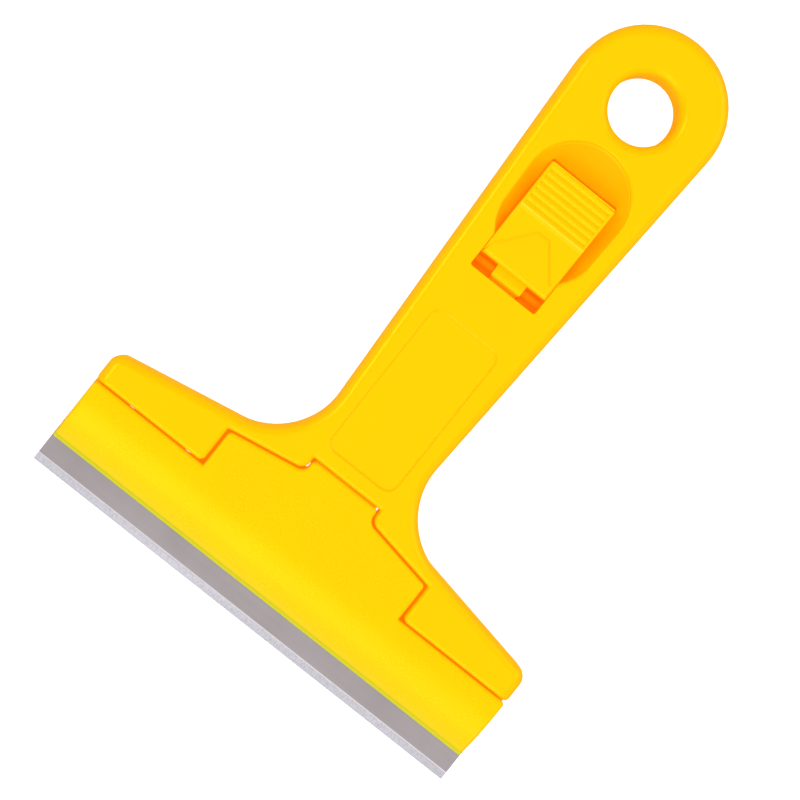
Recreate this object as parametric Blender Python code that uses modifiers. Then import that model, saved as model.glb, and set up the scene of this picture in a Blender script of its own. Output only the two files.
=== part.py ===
# Hand scraper with a wide clamped blade: press tab, spring clamp jaw, two-shell handle.
# Metres, +Z out of the front face, +Y up the handle, +X along the blade.
# Places along Y are counted from the cutting edge, and the whole tool is centred at the very end.

import math

import bmesh
import bpy
from mathutils import Euler, Matrix, Vector

# Blade
BLADE_WIDTH = 0.1000
BLADE_HEIGHT = 0.0190
BLADE_THICKNESS = 0.0006
BLADE_BEVEL = 0.0015
NOTCH_SPACING = 0.0600
NOTCH_RADIUS = 0.0030
NOTCH_DEPTH = 0.0070

# Gaps and walls
SHELL_GAP = 0.0003
SEAM_GAP = 0.00035
BLADE_GAP = 0.0002
PIN_CLEARANCE = 0.0002
FRONT_WALL = 0.0020
BACK_WALL = 0.0018
SIDE_WALL = 0.0020

# Overall form of the handle, seen from the front
TOOL_LENGTH = 0.14125
THICKNESS = 0.0120
NECK_HALF_WIDTH = 0.0120
NECK_RISE = 0.0309
GRIP_TAPER = 0.0519
SHOULDER_RISE = 0.0116
SHOULDER_INSET = 0.02524
SHOULDER_SLOPE = 0.187
NECK_FILLET = 0.0145
WING_CORNER = 0.0028
OUTER_ROUND = 0.0023
BACK_ROUND = 0.0018
BACK_LIP_CORNER = 0.0025
BACK_LIP_THICKNESS = 0.0015
BACK_SLOPE_RUN = 0.0086

# Clamp jaw, seen from the front
BLADE_SHOWN = 0.0059
JAW_INSET = 0.0002
BLADE_ROOM = 0.0004
WING_LENGTH = 0.02625
STEP_RISE = 0.00815
STEP_SLOPE = 0.178
NECK_PLATE_INSET = 0.00425
NECK_PLATE_RISE = 0.00575
NECK_PLATE_FILLET = 0.0020
STEP_CORNER = 0.0010
STEP_FOOT_CORNER = 0.0006
LIP_CORNER = 0.0007
NECK_PLATE_CORNER = 0.0005
SEAM_ROUND = 0.0005
LIP_THICKNESS = 0.0013
SLOPE_TOP_INSET = 0.0010
CORE_WALL = 0.0016
CORE_COUNT = 9
UPPER_CORE_COUNT = 4

# Pivot of the jaw, and its tail
PIVOT_RISE = 0.0042
PIVOT_PIN_RADIUS = 0.0010
PIVOT_PIN_REACH = 0.0033
BARREL_RADIUS = 0.0023
BARREL_FLOOR_GAP = 0.0005
TONGUE_INSET = 0.00045
TONGUE_CLEARANCE = 0.0006
TAIL_HALF_WIDTH = 0.0032
TAIL_THICKNESS = 0.0018
TAIL_CLEARANCE = 0.0006
PUSHER_LENGTH = 0.0022
PUSHER_INSET = 0.0044
PUSHER_ROUND = 0.0007

# Clamp spring and its seats
SPRING_ARM = 0.0185
SPRING_RADIUS = 0.00235
WIRE_RADIUS = 0.000275
SPRING_CURLS = 4.5
SPRING_GAP = 0.0002
SPRING_ROOM = 0.000475
CUP_WALL = 0.0008
CUP_ROOF = 0.0012
CUP_ROOF_GAP = 0.0006
POST_SINK = 0.0008

# Window, scoop and press tab
WINDOW_LENGTH = 0.0267
WINDOW_INSET = 0.0169
WINDOW_CORNER = 0.0005
SCOOP_MARGIN = 0.00403
SCOOP_SHOULDER_RISE = 0.0113
SCOOP_SHOULDER_ROUND = 0.0090
SCOOP_FLARE = 0.0007
SCOOP_FOOT_INSET = 0.00515
SCOOP_FOOT_RISE = 0.0030
SCOOP_FOOT_ROUND = 0.0044
SCOOP_REACH = 0.0063
SCOOP_DEPTH = 0.0042
SCOOP_RIM = 0.0003
SCOOP_WALL = 0.0014
SCOOP_PROFILE_SHARE = 0.34
WINDOW_SIDE_INSET = 0.00212
TAB_SIDE_GAP = 0.00043
TAB_FOOT_GAP = 0.00334
TAB_HEAD_GAP = 0.0015
TAB_THICKNESS = 0.0020
TAB_EDGE_ROUND = 0.0004
PAD_RISE = 0.01141
PAD_HEIGHT = 0.0007
RIDGE_COUNT = 7
RIDGE_HEIGHT = 0.0003
SKIRT_WALL = 0.0010
SKIRT_DROP = 0.0018
SKIRT_RISE = 0.00186

# Hinge of the press tab
HINGE_RISE = 0.0020
HINGE_SINK = 0.0028
HINGE_PIN_RADIUS = 0.0006
HINGE_PIN_REACH = 0.0005
KNUCKLE_REACH = 0.0014
KNUCKLE_ROUND = 0.0012
KNUCKLE_ROOT = 0.0020
EAR_GAP = 0.00075
EAR_INSET = 0.0004
EAR_WIDTH = 0.0030
EAR_RADIUS = 0.0014
EAR_ROOT = 0.0020

# Panel line on the grip, and the hanging hole
PANEL_INSET = 0.0041
PANEL_RISE = 0.0035
PANEL_CLEARANCE = 0.00995
PANEL_CORNER = 0.0024
PANEL_DEPTH = 0.00025
HOLE_RADIUS = 0.0069
HOLE_INSET = 0.01665
HOLE_ROUND = 0.0006
HOLE_WALL = 0.0018
BOSS_RELIEF = 0.0001

# Screws from the back
SCREW_HEAD_RADIUS = 0.0021
SCREW_HEAD_HEIGHT = 0.0013
SCREW_HEAD_ROUND = 0.0005
SCREW_SHANK_RADIUS = 0.0011
SCREW_LENGTH = 0.0078
SCREW_TIP = 0.0008
SCREW_RECESS_WIDTH = 0.0006
SCREW_RECESS_LENGTH = 0.0024
SCREW_RECESS_DEPTH = 0.0008
SCREW_CLEARANCE = 0.0003
SCREW_SINK = 0.0004
SCREW_BOSS_WALL = 0.0012
WING_SCREW_INSET = 0.0120
WING_SCREW_RISE = 0.0042
NECK_SCREW_INSET = 0.0048
NECK_SCREW_RISE = 0.0085
END_SCREW_INSET = 0.00465

# Vents through the plate behind the blade, counted from each end of the head
VENT_INSETS = (0.0087, 0.0224)
VENT_WIDTH = 0.0018
VENT_HEIGHT = 0.0018

# One overrun serves every cut
OVERRUN = 0.0010
WELD = 0.000001

# Fineness of round shapes
ARC_STEP = math.radians(15)
FINE_SIDES = 32
SIDES = 20
COARSE_SIDES = 16
ROUND_SEGMENTS = 4
SCOOP_SEGMENTS = 5
SEAM_SEGMENTS = 3
SLOPE_STEPS = 12
RIDGE_STEPS = 4
CURL_POINTS = 10

# Finishes
YELLOW = (1.0, 0.62, 0.0, 1.0)
BLADE_GREY = (0.42, 0.40, 0.42, 1.0)
BRIGHT_STEEL = (0.60, 0.60, 0.62, 1.0)
PLASTIC_ROUGHNESS = 0.42
STEEL_ROUGHNESS = 0.32

# Places across the width, worked out from the sizes above
HEAD_HALF_WIDTH = BLADE_WIDTH / 2
JAW_HALF_WIDTH = HEAD_HALF_WIDTH - JAW_INSET
STEP_HALF_WIDTH = HEAD_HALF_WIDTH - WING_LENGTH
SHOULDER_REACH = HEAD_HALF_WIDTH - SHOULDER_INSET
NECK_PLATE_HALF_WIDTH = NECK_HALF_WIDTH - NECK_PLATE_INSET
TONGUE_HALF_WIDTH = NECK_PLATE_HALF_WIDTH - TONGUE_INSET
THROAT_HALF_WIDTH = TONGUE_HALF_WIDTH + TONGUE_CLEARANCE
PIVOT_PIN_LENGTH = (TONGUE_HALF_WIDTH + PIVOT_PIN_REACH) * 2
PANEL_HALF_WIDTH = NECK_HALF_WIDTH - PANEL_INSET
WING_SCREW_X = HEAD_HALF_WIDTH - WING_SCREW_INSET
NECK_SCREW_X = NECK_HALF_WIDTH - NECK_SCREW_INSET
CUP_BORE = SPRING_RADIUS + WIRE_RADIUS + SPRING_ROOM
POST_RADIUS = SPRING_RADIUS - WIRE_RADIUS - SPRING_ROOM

# Levels along the tool, from the cutting edge
JAW_LIP_LEVEL = BLADE_SHOWN
JAW_TOP_LEVEL = BLADE_HEIGHT + BLADE_ROOM
WING_LEVEL = JAW_TOP_LEVEL + SEAM_GAP
SLOPE_TOP_LEVEL = JAW_TOP_LEVEL - SLOPE_TOP_INSET
BACK_SLOPE_LEVEL = JAW_LIP_LEVEL + BACK_SLOPE_RUN
STEP_LEVEL = JAW_TOP_LEVEL + STEP_RISE
SHOULDER_LEVEL = JAW_TOP_LEVEL + SHOULDER_RISE
SHOULDER_END = SHOULDER_LEVEL - SHOULDER_SLOPE * SHOULDER_INSET
WING_SCREW_LEVEL = JAW_TOP_LEVEL + WING_SCREW_RISE
NECK_PLATE_LEVEL = STEP_LEVEL + NECK_PLATE_RISE
NECK_LEVEL = JAW_TOP_LEVEL + NECK_RISE
PIVOT_LEVEL = NECK_PLATE_LEVEL + PIVOT_RISE
NECK_SCREW_LEVEL = PIVOT_LEVEL + NECK_SCREW_RISE
SPRING_LEVEL = PIVOT_LEVEL + SPRING_ARM
HOLE_LEVEL = TOOL_LENGTH - HOLE_INSET
END_SCREW_LEVEL = TOOL_LENGTH - END_SCREW_INSET
WINDOW_HIGH = HOLE_LEVEL - WINDOW_INSET
WINDOW_LOW = WINDOW_HIGH - WINDOW_LENGTH
SCOOP_TOP = WINDOW_HIGH + SCOOP_REACH
SCOOP_SHOULDER = WINDOW_LOW + SCOOP_SHOULDER_RISE
SCOOP_FOOT = WINDOW_LOW + SCOOP_FOOT_RISE
HINGE_LEVEL = WINDOW_LOW + HINGE_RISE
TAB_LOW_END = WINDOW_LOW + TAB_FOOT_GAP
TAB_HIGH_END = WINDOW_HIGH - TAB_HEAD_GAP
PAD_START = TAB_LOW_END + PAD_RISE
SKIRT_START = TAB_LOW_END + SKIRT_RISE
PUSHER_LEVEL = TAB_HIGH_END - PUSHER_INSET
PANEL_LOW = NECK_PLATE_LEVEL + PANEL_RISE
PANEL_HIGH = WINDOW_LOW - PANEL_CLEARANCE

# Places across the grip, which widens upwards
SCOOP_SHOULDER_HALF_WIDTH = NECK_HALF_WIDTH + GRIP_TAPER * (SCOOP_SHOULDER - NECK_LEVEL) - SCOOP_MARGIN
SCOOP_FOOT_HALF_WIDTH = SCOOP_SHOULDER_HALF_WIDTH - SCOOP_FOOT_INSET
SCOOP_TOP_HALF_WIDTH = SCOOP_SHOULDER_HALF_WIDTH + SCOOP_FLARE
WINDOW_HALF_WIDTH = SCOOP_SHOULDER_HALF_WIDTH - WINDOW_SIDE_INSET
TAB_HALF_WIDTH = WINDOW_HALF_WIDTH - TAB_SIDE_GAP
EAR_OUTER = TAB_HALF_WIDTH - EAR_INSET
EAR_INNER = EAR_OUTER - EAR_WIDTH
KNUCKLE_HALF_WIDTH = EAR_INNER - EAR_GAP
HINGE_PIN_LENGTH = (EAR_OUTER + HINGE_PIN_REACH) * 2

# Levels through the thickness, from the flat back
CEILING = THICKNESS - FRONT_WALL
PIVOT_HEIGHT = CEILING - SHELL_GAP - BARREL_RADIUS
SEAT_LEVEL = PIVOT_HEIGHT - BARREL_RADIUS - BARREL_FLOOR_GAP
FRONT_LOW = SEAT_LEVEL + SHELL_GAP
BLADE_LOW = SEAT_LEVEL + BLADE_GAP
BLADE_HIGH = BLADE_LOW + BLADE_THICKNESS
JAW_LOW = BLADE_HIGH + BLADE_GAP
HINGE_HEIGHT = THICKNESS - HINGE_SINK
TAIL_HIGH = HINGE_HEIGHT - KNUCKLE_REACH - TAIL_CLEARANCE
TAIL_LOW = TAIL_HIGH - TAIL_THICKNESS
TAB_UNDERSIDE = THICKNESS - TAB_THICKNESS
SKIRT_LOW = TAB_UNDERSIDE - SKIRT_DROP
CUP_TOP = CEILING - CUP_ROOF_GAP
POST_TOP = SEAT_LEVEL - POST_SINK


def clear_scene():
    for old in list(bpy.data.objects):
        bpy.data.objects.remove(old, do_unlink=True)


def new_collection(name):
    made = bpy.data.collections.new(name)
    bpy.context.scene.collection.children.link(made)
    return made


def finish_material(name, colour, roughness, metallic):
    made = bpy.data.materials.new(name)
    made.use_nodes = True
    shader = made.node_tree.nodes["Principled BSDF"]
    shader.inputs["Base Color"].default_value = colour
    shader.inputs["Roughness"].default_value = roughness
    shader.inputs["Metallic"].default_value = metallic
    return made


def plastic(name):
    return finish_material(name, YELLOW, PLASTIC_ROUGHNESS, 0.0)


def steel(name):
    return finish_material(name, BRIGHT_STEEL, STEEL_ROUGHNESS, 1.0)


def half_width(level):
    """Half the width of the grip at a level along Y."""
    return NECK_HALF_WIDTH + GRIP_TAPER * (level - NECK_LEVEL)


def round_end(below, reach, level):
    """Top corner (x, y, radius) whose arc meets its mirror image and makes a round end."""
    taper = (reach - below[0]) / (level - below[1])
    inner_angle = math.pi / 2 - math.atan(taper)
    return reach, level, reach * math.tan(inner_angle / 2)


def shoulder(x):
    """Level of the wing's sloping top edge at x."""
    return SHOULDER_LEVEL - SHOULDER_SLOPE * (x - SHOULDER_REACH)


def neck_corner():
    """Where the grip's side and the wing's top edge would meet without the fillet."""
    top = (SHOULDER_LEVEL + SHOULDER_SLOPE * (SHOULDER_REACH - half_width(0.0)))
    level = top / (1 + SHOULDER_SLOPE * GRIP_TAPER)
    return half_width(level), level


def mirrored(right_half):
    """Corners (x, y, radius) of the right side from bottom to top, with the left side added."""
    left_half = [(-x, y, r) for x, y, r in reversed(right_half)]
    return right_half + left_half


def rounded(corners, outset=0.0):
    """Points of a counter-clockwise outline whose corners are (x, y, radius), grown by outset."""
    points = []
    count = len(corners)
    for index in range(count):
        here = Vector(corners[index][:2])
        into = (here - Vector(corners[index - 1][:2])).normalized()
        out = (Vector(corners[(index + 1) % count][:2]) - here).normalized()
        turn = math.atan2(into.cross(out), into.dot(out))
        bisect = outset / math.cos(turn / 2)
        normal = Vector((into.y, -into.x)) + Vector((out.y, -out.x))
        if outset:
            here = here + normal.normalized() * bisect
        radius = corners[index][2] + math.copysign(outset, turn) if corners[index][2] else 0.0
        if radius <= 0.0:
            points.append((here.x, here.y))
            continue
        reach = radius * math.tan(abs(turn) / 2)
        steps = max(2, math.ceil(abs(turn) / ARC_STEP))
        side = math.copysign(1.0, turn)
        centre = here - into * reach + Vector((-into.y, into.x)) * side * radius
        start = Vector((into.y, -into.x)) * side * radius
        for step in range(steps + 1):
            angle = turn * step / steps
            arm = Matrix.Rotation(angle, 2) @ start
            points.append((centre.x + arm.x, centre.y + arm.y))
    tidy = []
    for point in points:
        if not tidy or (Vector(point) - Vector(tidy[-1])).length > WELD:
            tidy.append(point)
    if (Vector(tidy[0]) - Vector(tidy[-1])).length <= WELD:
        tidy.pop()
    return tidy


def to_mesh(curve_object):
    """Turn a curve object into a welded mesh object of the same name with clean flat faces."""
    bpy.context.view_layer.update()
    graph = bpy.context.evaluated_depsgraph_get()
    mesh = bpy.data.meshes.new_from_object(curve_object.evaluated_get(graph))
    work = bmesh.new()
    work.from_mesh(mesh)
    bmesh.ops.remove_doubles(work, verts=work.verts, dist=WELD)
    flat = [edge for edge in work.edges if edge.is_manifold and edge.calc_face_angle() < ARC_STEP / 100]
    bmesh.ops.dissolve_edges(work, edges=flat, use_verts=False)
    work.to_mesh(mesh)
    work.free()
    name = curve_object.name
    place = curve_object.matrix_world.copy()
    bpy.data.objects.remove(curve_object, do_unlink=True)
    made = bpy.data.objects.new(name, mesh)
    made.matrix_world = place
    return made


def plate(name, points, low, high, collection):
    """A flat outline in XY made solid from the low to the high level."""
    curve = bpy.data.curves.new(name, "CURVE")
    curve.dimensions = "2D"
    curve.fill_mode = "BOTH"
    curve.extrude = (high - low) / 2
    spline = curve.splines.new("POLY")
    spline.points.add(len(points) - 1)
    for spot, (x, y) in zip(spline.points, points):
        spot.co = (x, y, 0.0, 1.0)
    spline.use_cyclic_u = True
    made = bpy.data.objects.new(name, curve)
    made.location = (0.0, 0.0, (low + high) / 2)
    bpy.context.scene.collection.objects.link(made)
    made = to_mesh(made)
    collection.objects.link(made)
    return made


def side_plate(name, points, low, high, collection):
    """An outline in YZ made solid from one X to another."""
    made = plate(name, points, low, high, collection)
    turn = Matrix(((0.0, 0.0, 1.0), (1.0, 0.0, 0.0), (0.0, 1.0, 0.0)))
    made.data.transform(Matrix.Translation(made.location))
    made.data.transform(turn.to_4x4())
    made.location = (0.0, 0.0, 0.0)
    return made


def box(name, low, high, collection):
    """A block from its lowest to its highest corner, its scale applied."""
    bpy.ops.mesh.primitive_cube_add(size=1.0)
    made = bpy.context.active_object
    made.name = name
    size = Vector(high) - Vector(low)
    made.data.transform(Matrix.Diagonal(size).to_4x4())
    made.location = (Vector(high) + Vector(low)) / 2
    move_to(made, collection)
    return made


def rod(name, radius, length, centre, along, collection, sides=SIDES):
    """A round bar about its centre, along X or Z."""
    bpy.ops.mesh.primitive_cylinder_add(vertices=sides, radius=radius, depth=length)
    made = bpy.context.active_object
    made.name = name
    if along == "X":
        made.data.transform(Euler((0.0, math.pi / 2, 0.0)).to_matrix().to_4x4())
    made.location = centre
    move_to(made, collection)
    return made


def move_to(item, collection):
    for old in list(item.users_collection):
        old.objects.unlink(item)
    collection.objects.link(item)


def turned(name, profile, steps, collection):
    """A profile of (radius, height) at +X, from top to bottom, turned about Z."""
    mesh = bpy.data.meshes.new(name)
    points = [(radius, 0.0, height) for radius, height in profile]
    edges = [(index, index + 1) for index in range(len(points) - 1)]
    mesh.from_pydata(points, edges, [])
    made = bpy.data.objects.new(name, mesh)
    collection.objects.link(made)
    turn = made.modifiers.new("turn", "SCREW")
    turn.steps = steps
    turn.render_steps = steps
    turn.use_merge_vertices = True
    turn.merge_threshold = WELD
    turn.use_smooth_shade = False
    return made


def weigh_edges(item, rule):
    """Give each edge the bevel weight that the rule finds from its two ends, in the mesh's own frame."""
    weights = item.data.attributes.new("bevel_weight_edge", "FLOAT", "EDGE")
    for edge in item.data.edges:
        ends = [item.data.vertices[index].co for index in edge.vertices]
        weights.data[edge.index].value = rule(ends[0], ends[1])


def round_edges(item, radius, segments, profile=0.5):
    """Round the edges that have a bevel weight."""
    made = item.modifiers.new("round", "BEVEL")
    made.limit_method = "WEIGHT"
    made.width = radius
    made.use_clamp_overlap = False
    made.segments = segments
    made.profile = profile
    return made


def join(target, tool, how):
    made = target.modifiers.new(how.lower() + " " + tool.name, "BOOLEAN")
    made.operation = how
    made.object = tool
    made.solver = "EXACT"
    tool.hide_render = True
    tool.display_type = "WIRE"


def cut(target, tool):
    join(target, tool, "DIFFERENCE")


def add(target, tool):
    join(target, tool, "UNION")


def dress(item, material):
    item.data.materials.clear()
    item.data.materials.append(material)
    return item


def hang_on(item, pivot_name, place, collection):
    """Parent a moving piece to an empty on its joint's axis, where it already lies."""
    pivot = bpy.data.objects.new(pivot_name, None)
    pivot.location = place
    collection.objects.link(pivot)
    item.parent = pivot
    item.location = item.location - pivot.location


# Outlines seen from the front

def jaw_corners():
    """Right half of the clamp jaw's outline, from the lip up to the neck."""
    slope_top = STEP_LEVEL + STEP_SLOPE * (STEP_HALF_WIDTH - NECK_PLATE_HALF_WIDTH)
    return [
        (JAW_HALF_WIDTH, JAW_LIP_LEVEL, LIP_CORNER),
        (JAW_HALF_WIDTH, JAW_TOP_LEVEL, LIP_CORNER),
        (STEP_HALF_WIDTH, JAW_TOP_LEVEL, STEP_FOOT_CORNER),
        (STEP_HALF_WIDTH, STEP_LEVEL, STEP_CORNER),
        (NECK_PLATE_HALF_WIDTH, slope_top, NECK_PLATE_FILLET),
        (NECK_PLATE_HALF_WIDTH, NECK_PLATE_LEVEL, NECK_PLATE_CORNER),
    ]


def grip_corners():
    """Right half of the handle's outline above the wing's lower edge."""
    corner = neck_corner()
    return [
        (HEAD_HALF_WIDTH, SHOULDER_END, WING_CORNER),
        (*corner, NECK_FILLET),
        round_end(corner, half_width(TOOL_LENGTH), TOOL_LENGTH),
    ]


def handle_outline():
    """The whole handle from the lip of the head to the round end."""
    return rounded(mirrored([(HEAD_HALF_WIDTH, JAW_LIP_LEVEL, BACK_LIP_CORNER)] + grip_corners()))


def jaw_room_corners():
    """The jaw's outline, drawn on below the lip and past the wings' ends, where nothing is left."""
    reach = HEAD_HALF_WIDTH + BACK_LIP_CORNER
    upper = jaw_corners()[2:]
    return mirrored([
        (reach, JAW_LIP_LEVEL - BACK_LIP_CORNER, 0.0),
        (reach, JAW_TOP_LEVEL, 0.0),
    ] + upper)


def grip_cavity_outline(throat_level):
    """Inside of the grip, one side wall in from the outline, and the narrow throat round the pivot."""
    level = PIVOT_LEVEL + BARREL_RADIUS + TONGUE_CLEARANCE
    start = (half_width(level) - SIDE_WALL, level)
    reach = half_width(TOOL_LENGTH) - SIDE_WALL
    return rounded(mirrored([
        (THROAT_HALF_WIDTH, throat_level, 0.0),
        (THROAT_HALF_WIDTH, level - (start[0] - THROAT_HALF_WIDTH), 0.0),
        (*start, WINDOW_CORNER),
        round_end(start, reach, TOOL_LENGTH - SIDE_WALL),
    ]))


def scoop_corners():
    shoulder_corner = (SCOOP_SHOULDER_HALF_WIDTH, SCOOP_SHOULDER)
    return mirrored([
        (SCOOP_FOOT_HALF_WIDTH, SCOOP_FOOT, SCOOP_FOOT_ROUND),
        (*shoulder_corner, SCOOP_SHOULDER_ROUND),
        round_end(shoulder_corner, SCOOP_TOP_HALF_WIDTH, SCOOP_TOP),
    ])


# Cutters that several pieces share

def hole_cutter(collection):
    """The hanging hole with a sloping rim at the front and at the back."""
    wide = HOLE_RADIUS + HOLE_ROUND + OVERRUN
    profile = [
        (0.0, THICKNESS + OVERRUN),
        (wide, THICKNESS + OVERRUN),
        (HOLE_RADIUS, THICKNESS - HOLE_ROUND),
        (HOLE_RADIUS, HOLE_ROUND),
        (wide, -OVERRUN),
        (0.0, -OVERRUN),
    ]
    made = turned("hanging_hole_cut", profile, FINE_SIDES, collection)
    made.location = (0.0, HOLE_LEVEL, 0.0)
    return made


def screw_places():
    return {
        "wing_screw_left": (-WING_SCREW_X, WING_SCREW_LEVEL),
        "wing_screw_right": (WING_SCREW_X, WING_SCREW_LEVEL),
        "neck_screw_left": (-NECK_SCREW_X, NECK_SCREW_LEVEL),
        "neck_screw_right": (NECK_SCREW_X, NECK_SCREW_LEVEL),
        "end_screw": (0.0, END_SCREW_LEVEL),
    }


def screw_hole_cutter(name, x, y, collection):
    """Sunk head room in the back shell and shank room through both shells."""
    head = SCREW_HEAD_RADIUS + SCREW_CLEARANCE
    shank = SCREW_SHANK_RADIUS + SCREW_CLEARANCE
    floor = SCREW_SINK + SCREW_HEAD_HEIGHT + SCREW_CLEARANCE
    tip = SCREW_SINK + SCREW_LENGTH + SCREW_CLEARANCE
    profile = [(0.0, tip), (shank, tip), (shank, floor), (head, floor), (head, -OVERRUN), (0.0, -OVERRUN)]
    made = turned(name, profile, COARSE_SIDES, collection)
    made.location = (x, y, 0.0)
    return made


def wing_pocket(name, x_from, x_to, low, high, collection):
    """Hollow under a wing, one side wall in from its sloping top edge."""
    floor = WING_LEVEL + SIDE_WALL
    corners = [
        (x_from, floor, 0.0),
        (x_to, floor, 0.0),
        (x_to, shoulder(x_to) - SIDE_WALL, 0.0),
        (x_from, shoulder(x_from) - SIDE_WALL, 0.0),
    ]
    if x_to < x_from:
        corners.reverse()
    return plate(name, [(x, y) for x, y, r in corners], low, high, collection)


def wing_pockets(target, low, high, prefix, collection):
    """Two hollows in each wing, with the screw's boss left standing between them."""
    boss = SCREW_SHANK_RADIUS + SCREW_CLEARANCE + SCREW_BOSS_WALL
    inner = STEP_HALF_WIDTH + SEAM_GAP + SIDE_WALL
    outer = HEAD_HALF_WIDTH - SIDE_WALL
    spans = ((inner, WING_SCREW_X - boss), (WING_SCREW_X + boss, outer))
    for number, (start, stop) in enumerate(spans):
        right = wing_pocket(f"{prefix}_pocket_right_{number}", start, stop, low, high, collection)
        cut(target, right)
        left = wing_pocket(f"{prefix}_pocket_left_{number}", start, stop, low, high, collection)
        left.data.transform(Matrix.Diagonal((-1.0, 1.0, 1.0, 1.0)))
        left.data.flip_normals()
        cut(target, left)


# Pieces

def make_front_shell(parts, cutters):
    shell = plate("handle_front_shell", handle_outline(), FRONT_LOW, THICKNESS, parts)
    half = (THICKNESS - FRONT_LOW) / 2
    weigh_edges(shell, lambda first, second: 0.0 if min(first.z, second.z) < half - WELD else 1.0)
    round_edges(shell, OUTER_ROUND, ROUND_SEGMENTS)
    cut_jaw_room(shell, cutters)
    cavity = grip_cavity_outline(NECK_PLATE_LEVEL - STEP_CORNER)
    cut(shell, plate("grip_cavity_cut", cavity, FRONT_LOW - OVERRUN, CEILING, cutters))
    wing_pockets(shell, FRONT_LOW - OVERRUN, CEILING, "front", cutters)
    add_front_bosses(shell, cutters)
    cut_scoop_and_window(shell, cutters)
    add_ears(shell, cutters)
    cut_pivot_slots(shell, cutters)
    panel = rounded(mirrored([
        (PANEL_HALF_WIDTH, PANEL_LOW, PANEL_CORNER),
        (PANEL_HALF_WIDTH, PANEL_HIGH, PANEL_CORNER),
    ]))
    cut(shell, plate("panel_cut", panel, THICKNESS - PANEL_DEPTH, THICKNESS + OVERRUN, cutters))
    return dress(shell, plastic("front shell plastic"))


def cut_jaw_room(shell, cutters):
    """The stepped opening that the jaw fills."""
    room = rounded(jaw_room_corners(), SEAM_GAP)
    cut(shell, plate("jaw_room_cut", room, FRONT_LOW - OVERRUN, THICKNESS + OVERRUN, cutters))


def add_front_bosses(shell, cutters):
    low = FRONT_LOW + BOSS_RELIEF
    middle = (low + CEILING + OVERRUN) / 2
    height = CEILING + OVERRUN - low
    place = (0.0, HOLE_LEVEL, middle)
    add(shell, rod("hole_boss_front", HOLE_RADIUS + HOLE_WALL, height, place, "Z", cutters, FINE_SIDES))
    boss = SCREW_SHANK_RADIUS + SCREW_CLEARANCE + SCREW_BOSS_WALL
    for name, (x, y) in screw_places().items():
        if not name.startswith("wing"):
            add(shell, rod(name + "_boss", boss, height, (x, y, middle), "Z", cutters, COARSE_SIDES))
    cut(shell, hole_cutter(cutters))
    for name, (x, y) in screw_places().items():
        cut(shell, screw_hole_cutter(name + "_front_cut", x, y, cutters))


def cut_scoop_and_window(shell, cutters):
    """The bowl round the tab, on a thicker wall below it, and the window through both."""
    low = THICKNESS - SCOOP_DEPTH
    around = rounded(scoop_corners(), SCOOP_WALL)
    add(shell, plate("scoop_wall", around, low - SCOOP_WALL, CEILING + OVERRUN, cutters))
    bowl = plate("scoop_cut", rounded(scoop_corners()), low, THICKNESS + OVERRUN, cutters)
    half = (THICKNESS + OVERRUN - low) / 2
    weigh_edges(bowl, lambda first, second: 1.0 if max(first.z, second.z) < WELD - half else 0.0)
    round_edges(bowl, SCOOP_DEPTH - SCOOP_RIM, SCOOP_SEGMENTS, SCOOP_PROFILE_SHARE)
    cut(shell, bowl)
    window = rounded(mirrored([
        (WINDOW_HALF_WIDTH, WINDOW_LOW, WINDOW_CORNER),
        (WINDOW_HALF_WIDTH, WINDOW_HIGH, WINDOW_CORNER),
    ]))
    cut(shell, plate("window_cut", window, FRONT_LOW - OVERRUN, THICKNESS + OVERRUN, cutters))


def add_ears(shell, cutters):
    """Two ears under the window's lower edge that hold the tab's hinge pin."""
    profile = rounded([
        (WINDOW_LOW - EAR_ROOT, HINGE_HEIGHT - EAR_RADIUS, 0.0),
        (HINGE_LEVEL + EAR_RADIUS, HINGE_HEIGHT - EAR_RADIUS, EAR_RADIUS),
        (HINGE_LEVEL + EAR_RADIUS, HINGE_HEIGHT + EAR_RADIUS, EAR_RADIUS),
        (WINDOW_LOW - EAR_ROOT, HINGE_HEIGHT + EAR_RADIUS, 0.0),
    ])
    add(shell, side_plate("ear_right", profile, EAR_INNER, EAR_OUTER, cutters))
    add(shell, side_plate("ear_left", profile, -EAR_OUTER, -EAR_INNER, cutters))
    bore = HINGE_PIN_RADIUS + PIN_CLEARANCE
    place = (0.0, HINGE_LEVEL, HINGE_HEIGHT)
    cut(shell, rod("ear_bore_cut", bore, (EAR_OUTER + OVERRUN) * 2, place, "X", cutters, COARSE_SIDES))


def cut_pivot_slots(shell, cutters):
    """Slots in the neck's side walls that the jaw's pivot pin drops into from behind."""
    reach = PIVOT_PIN_LENGTH / 2 + PIN_CLEARANCE
    bore = PIVOT_PIN_RADIUS + PIN_CLEARANCE
    profile = rounded([
        (PIVOT_LEVEL - bore, FRONT_LOW - OVERRUN, 0.0),
        (PIVOT_LEVEL + bore, FRONT_LOW - OVERRUN, 0.0),
        (PIVOT_LEVEL + bore, PIVOT_HEIGHT + bore, bore),
        (PIVOT_LEVEL - bore, PIVOT_HEIGHT + bore, bore),
    ])
    cut(shell, side_plate("pivot_slot_cut", profile, -reach, reach, cutters))


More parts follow.
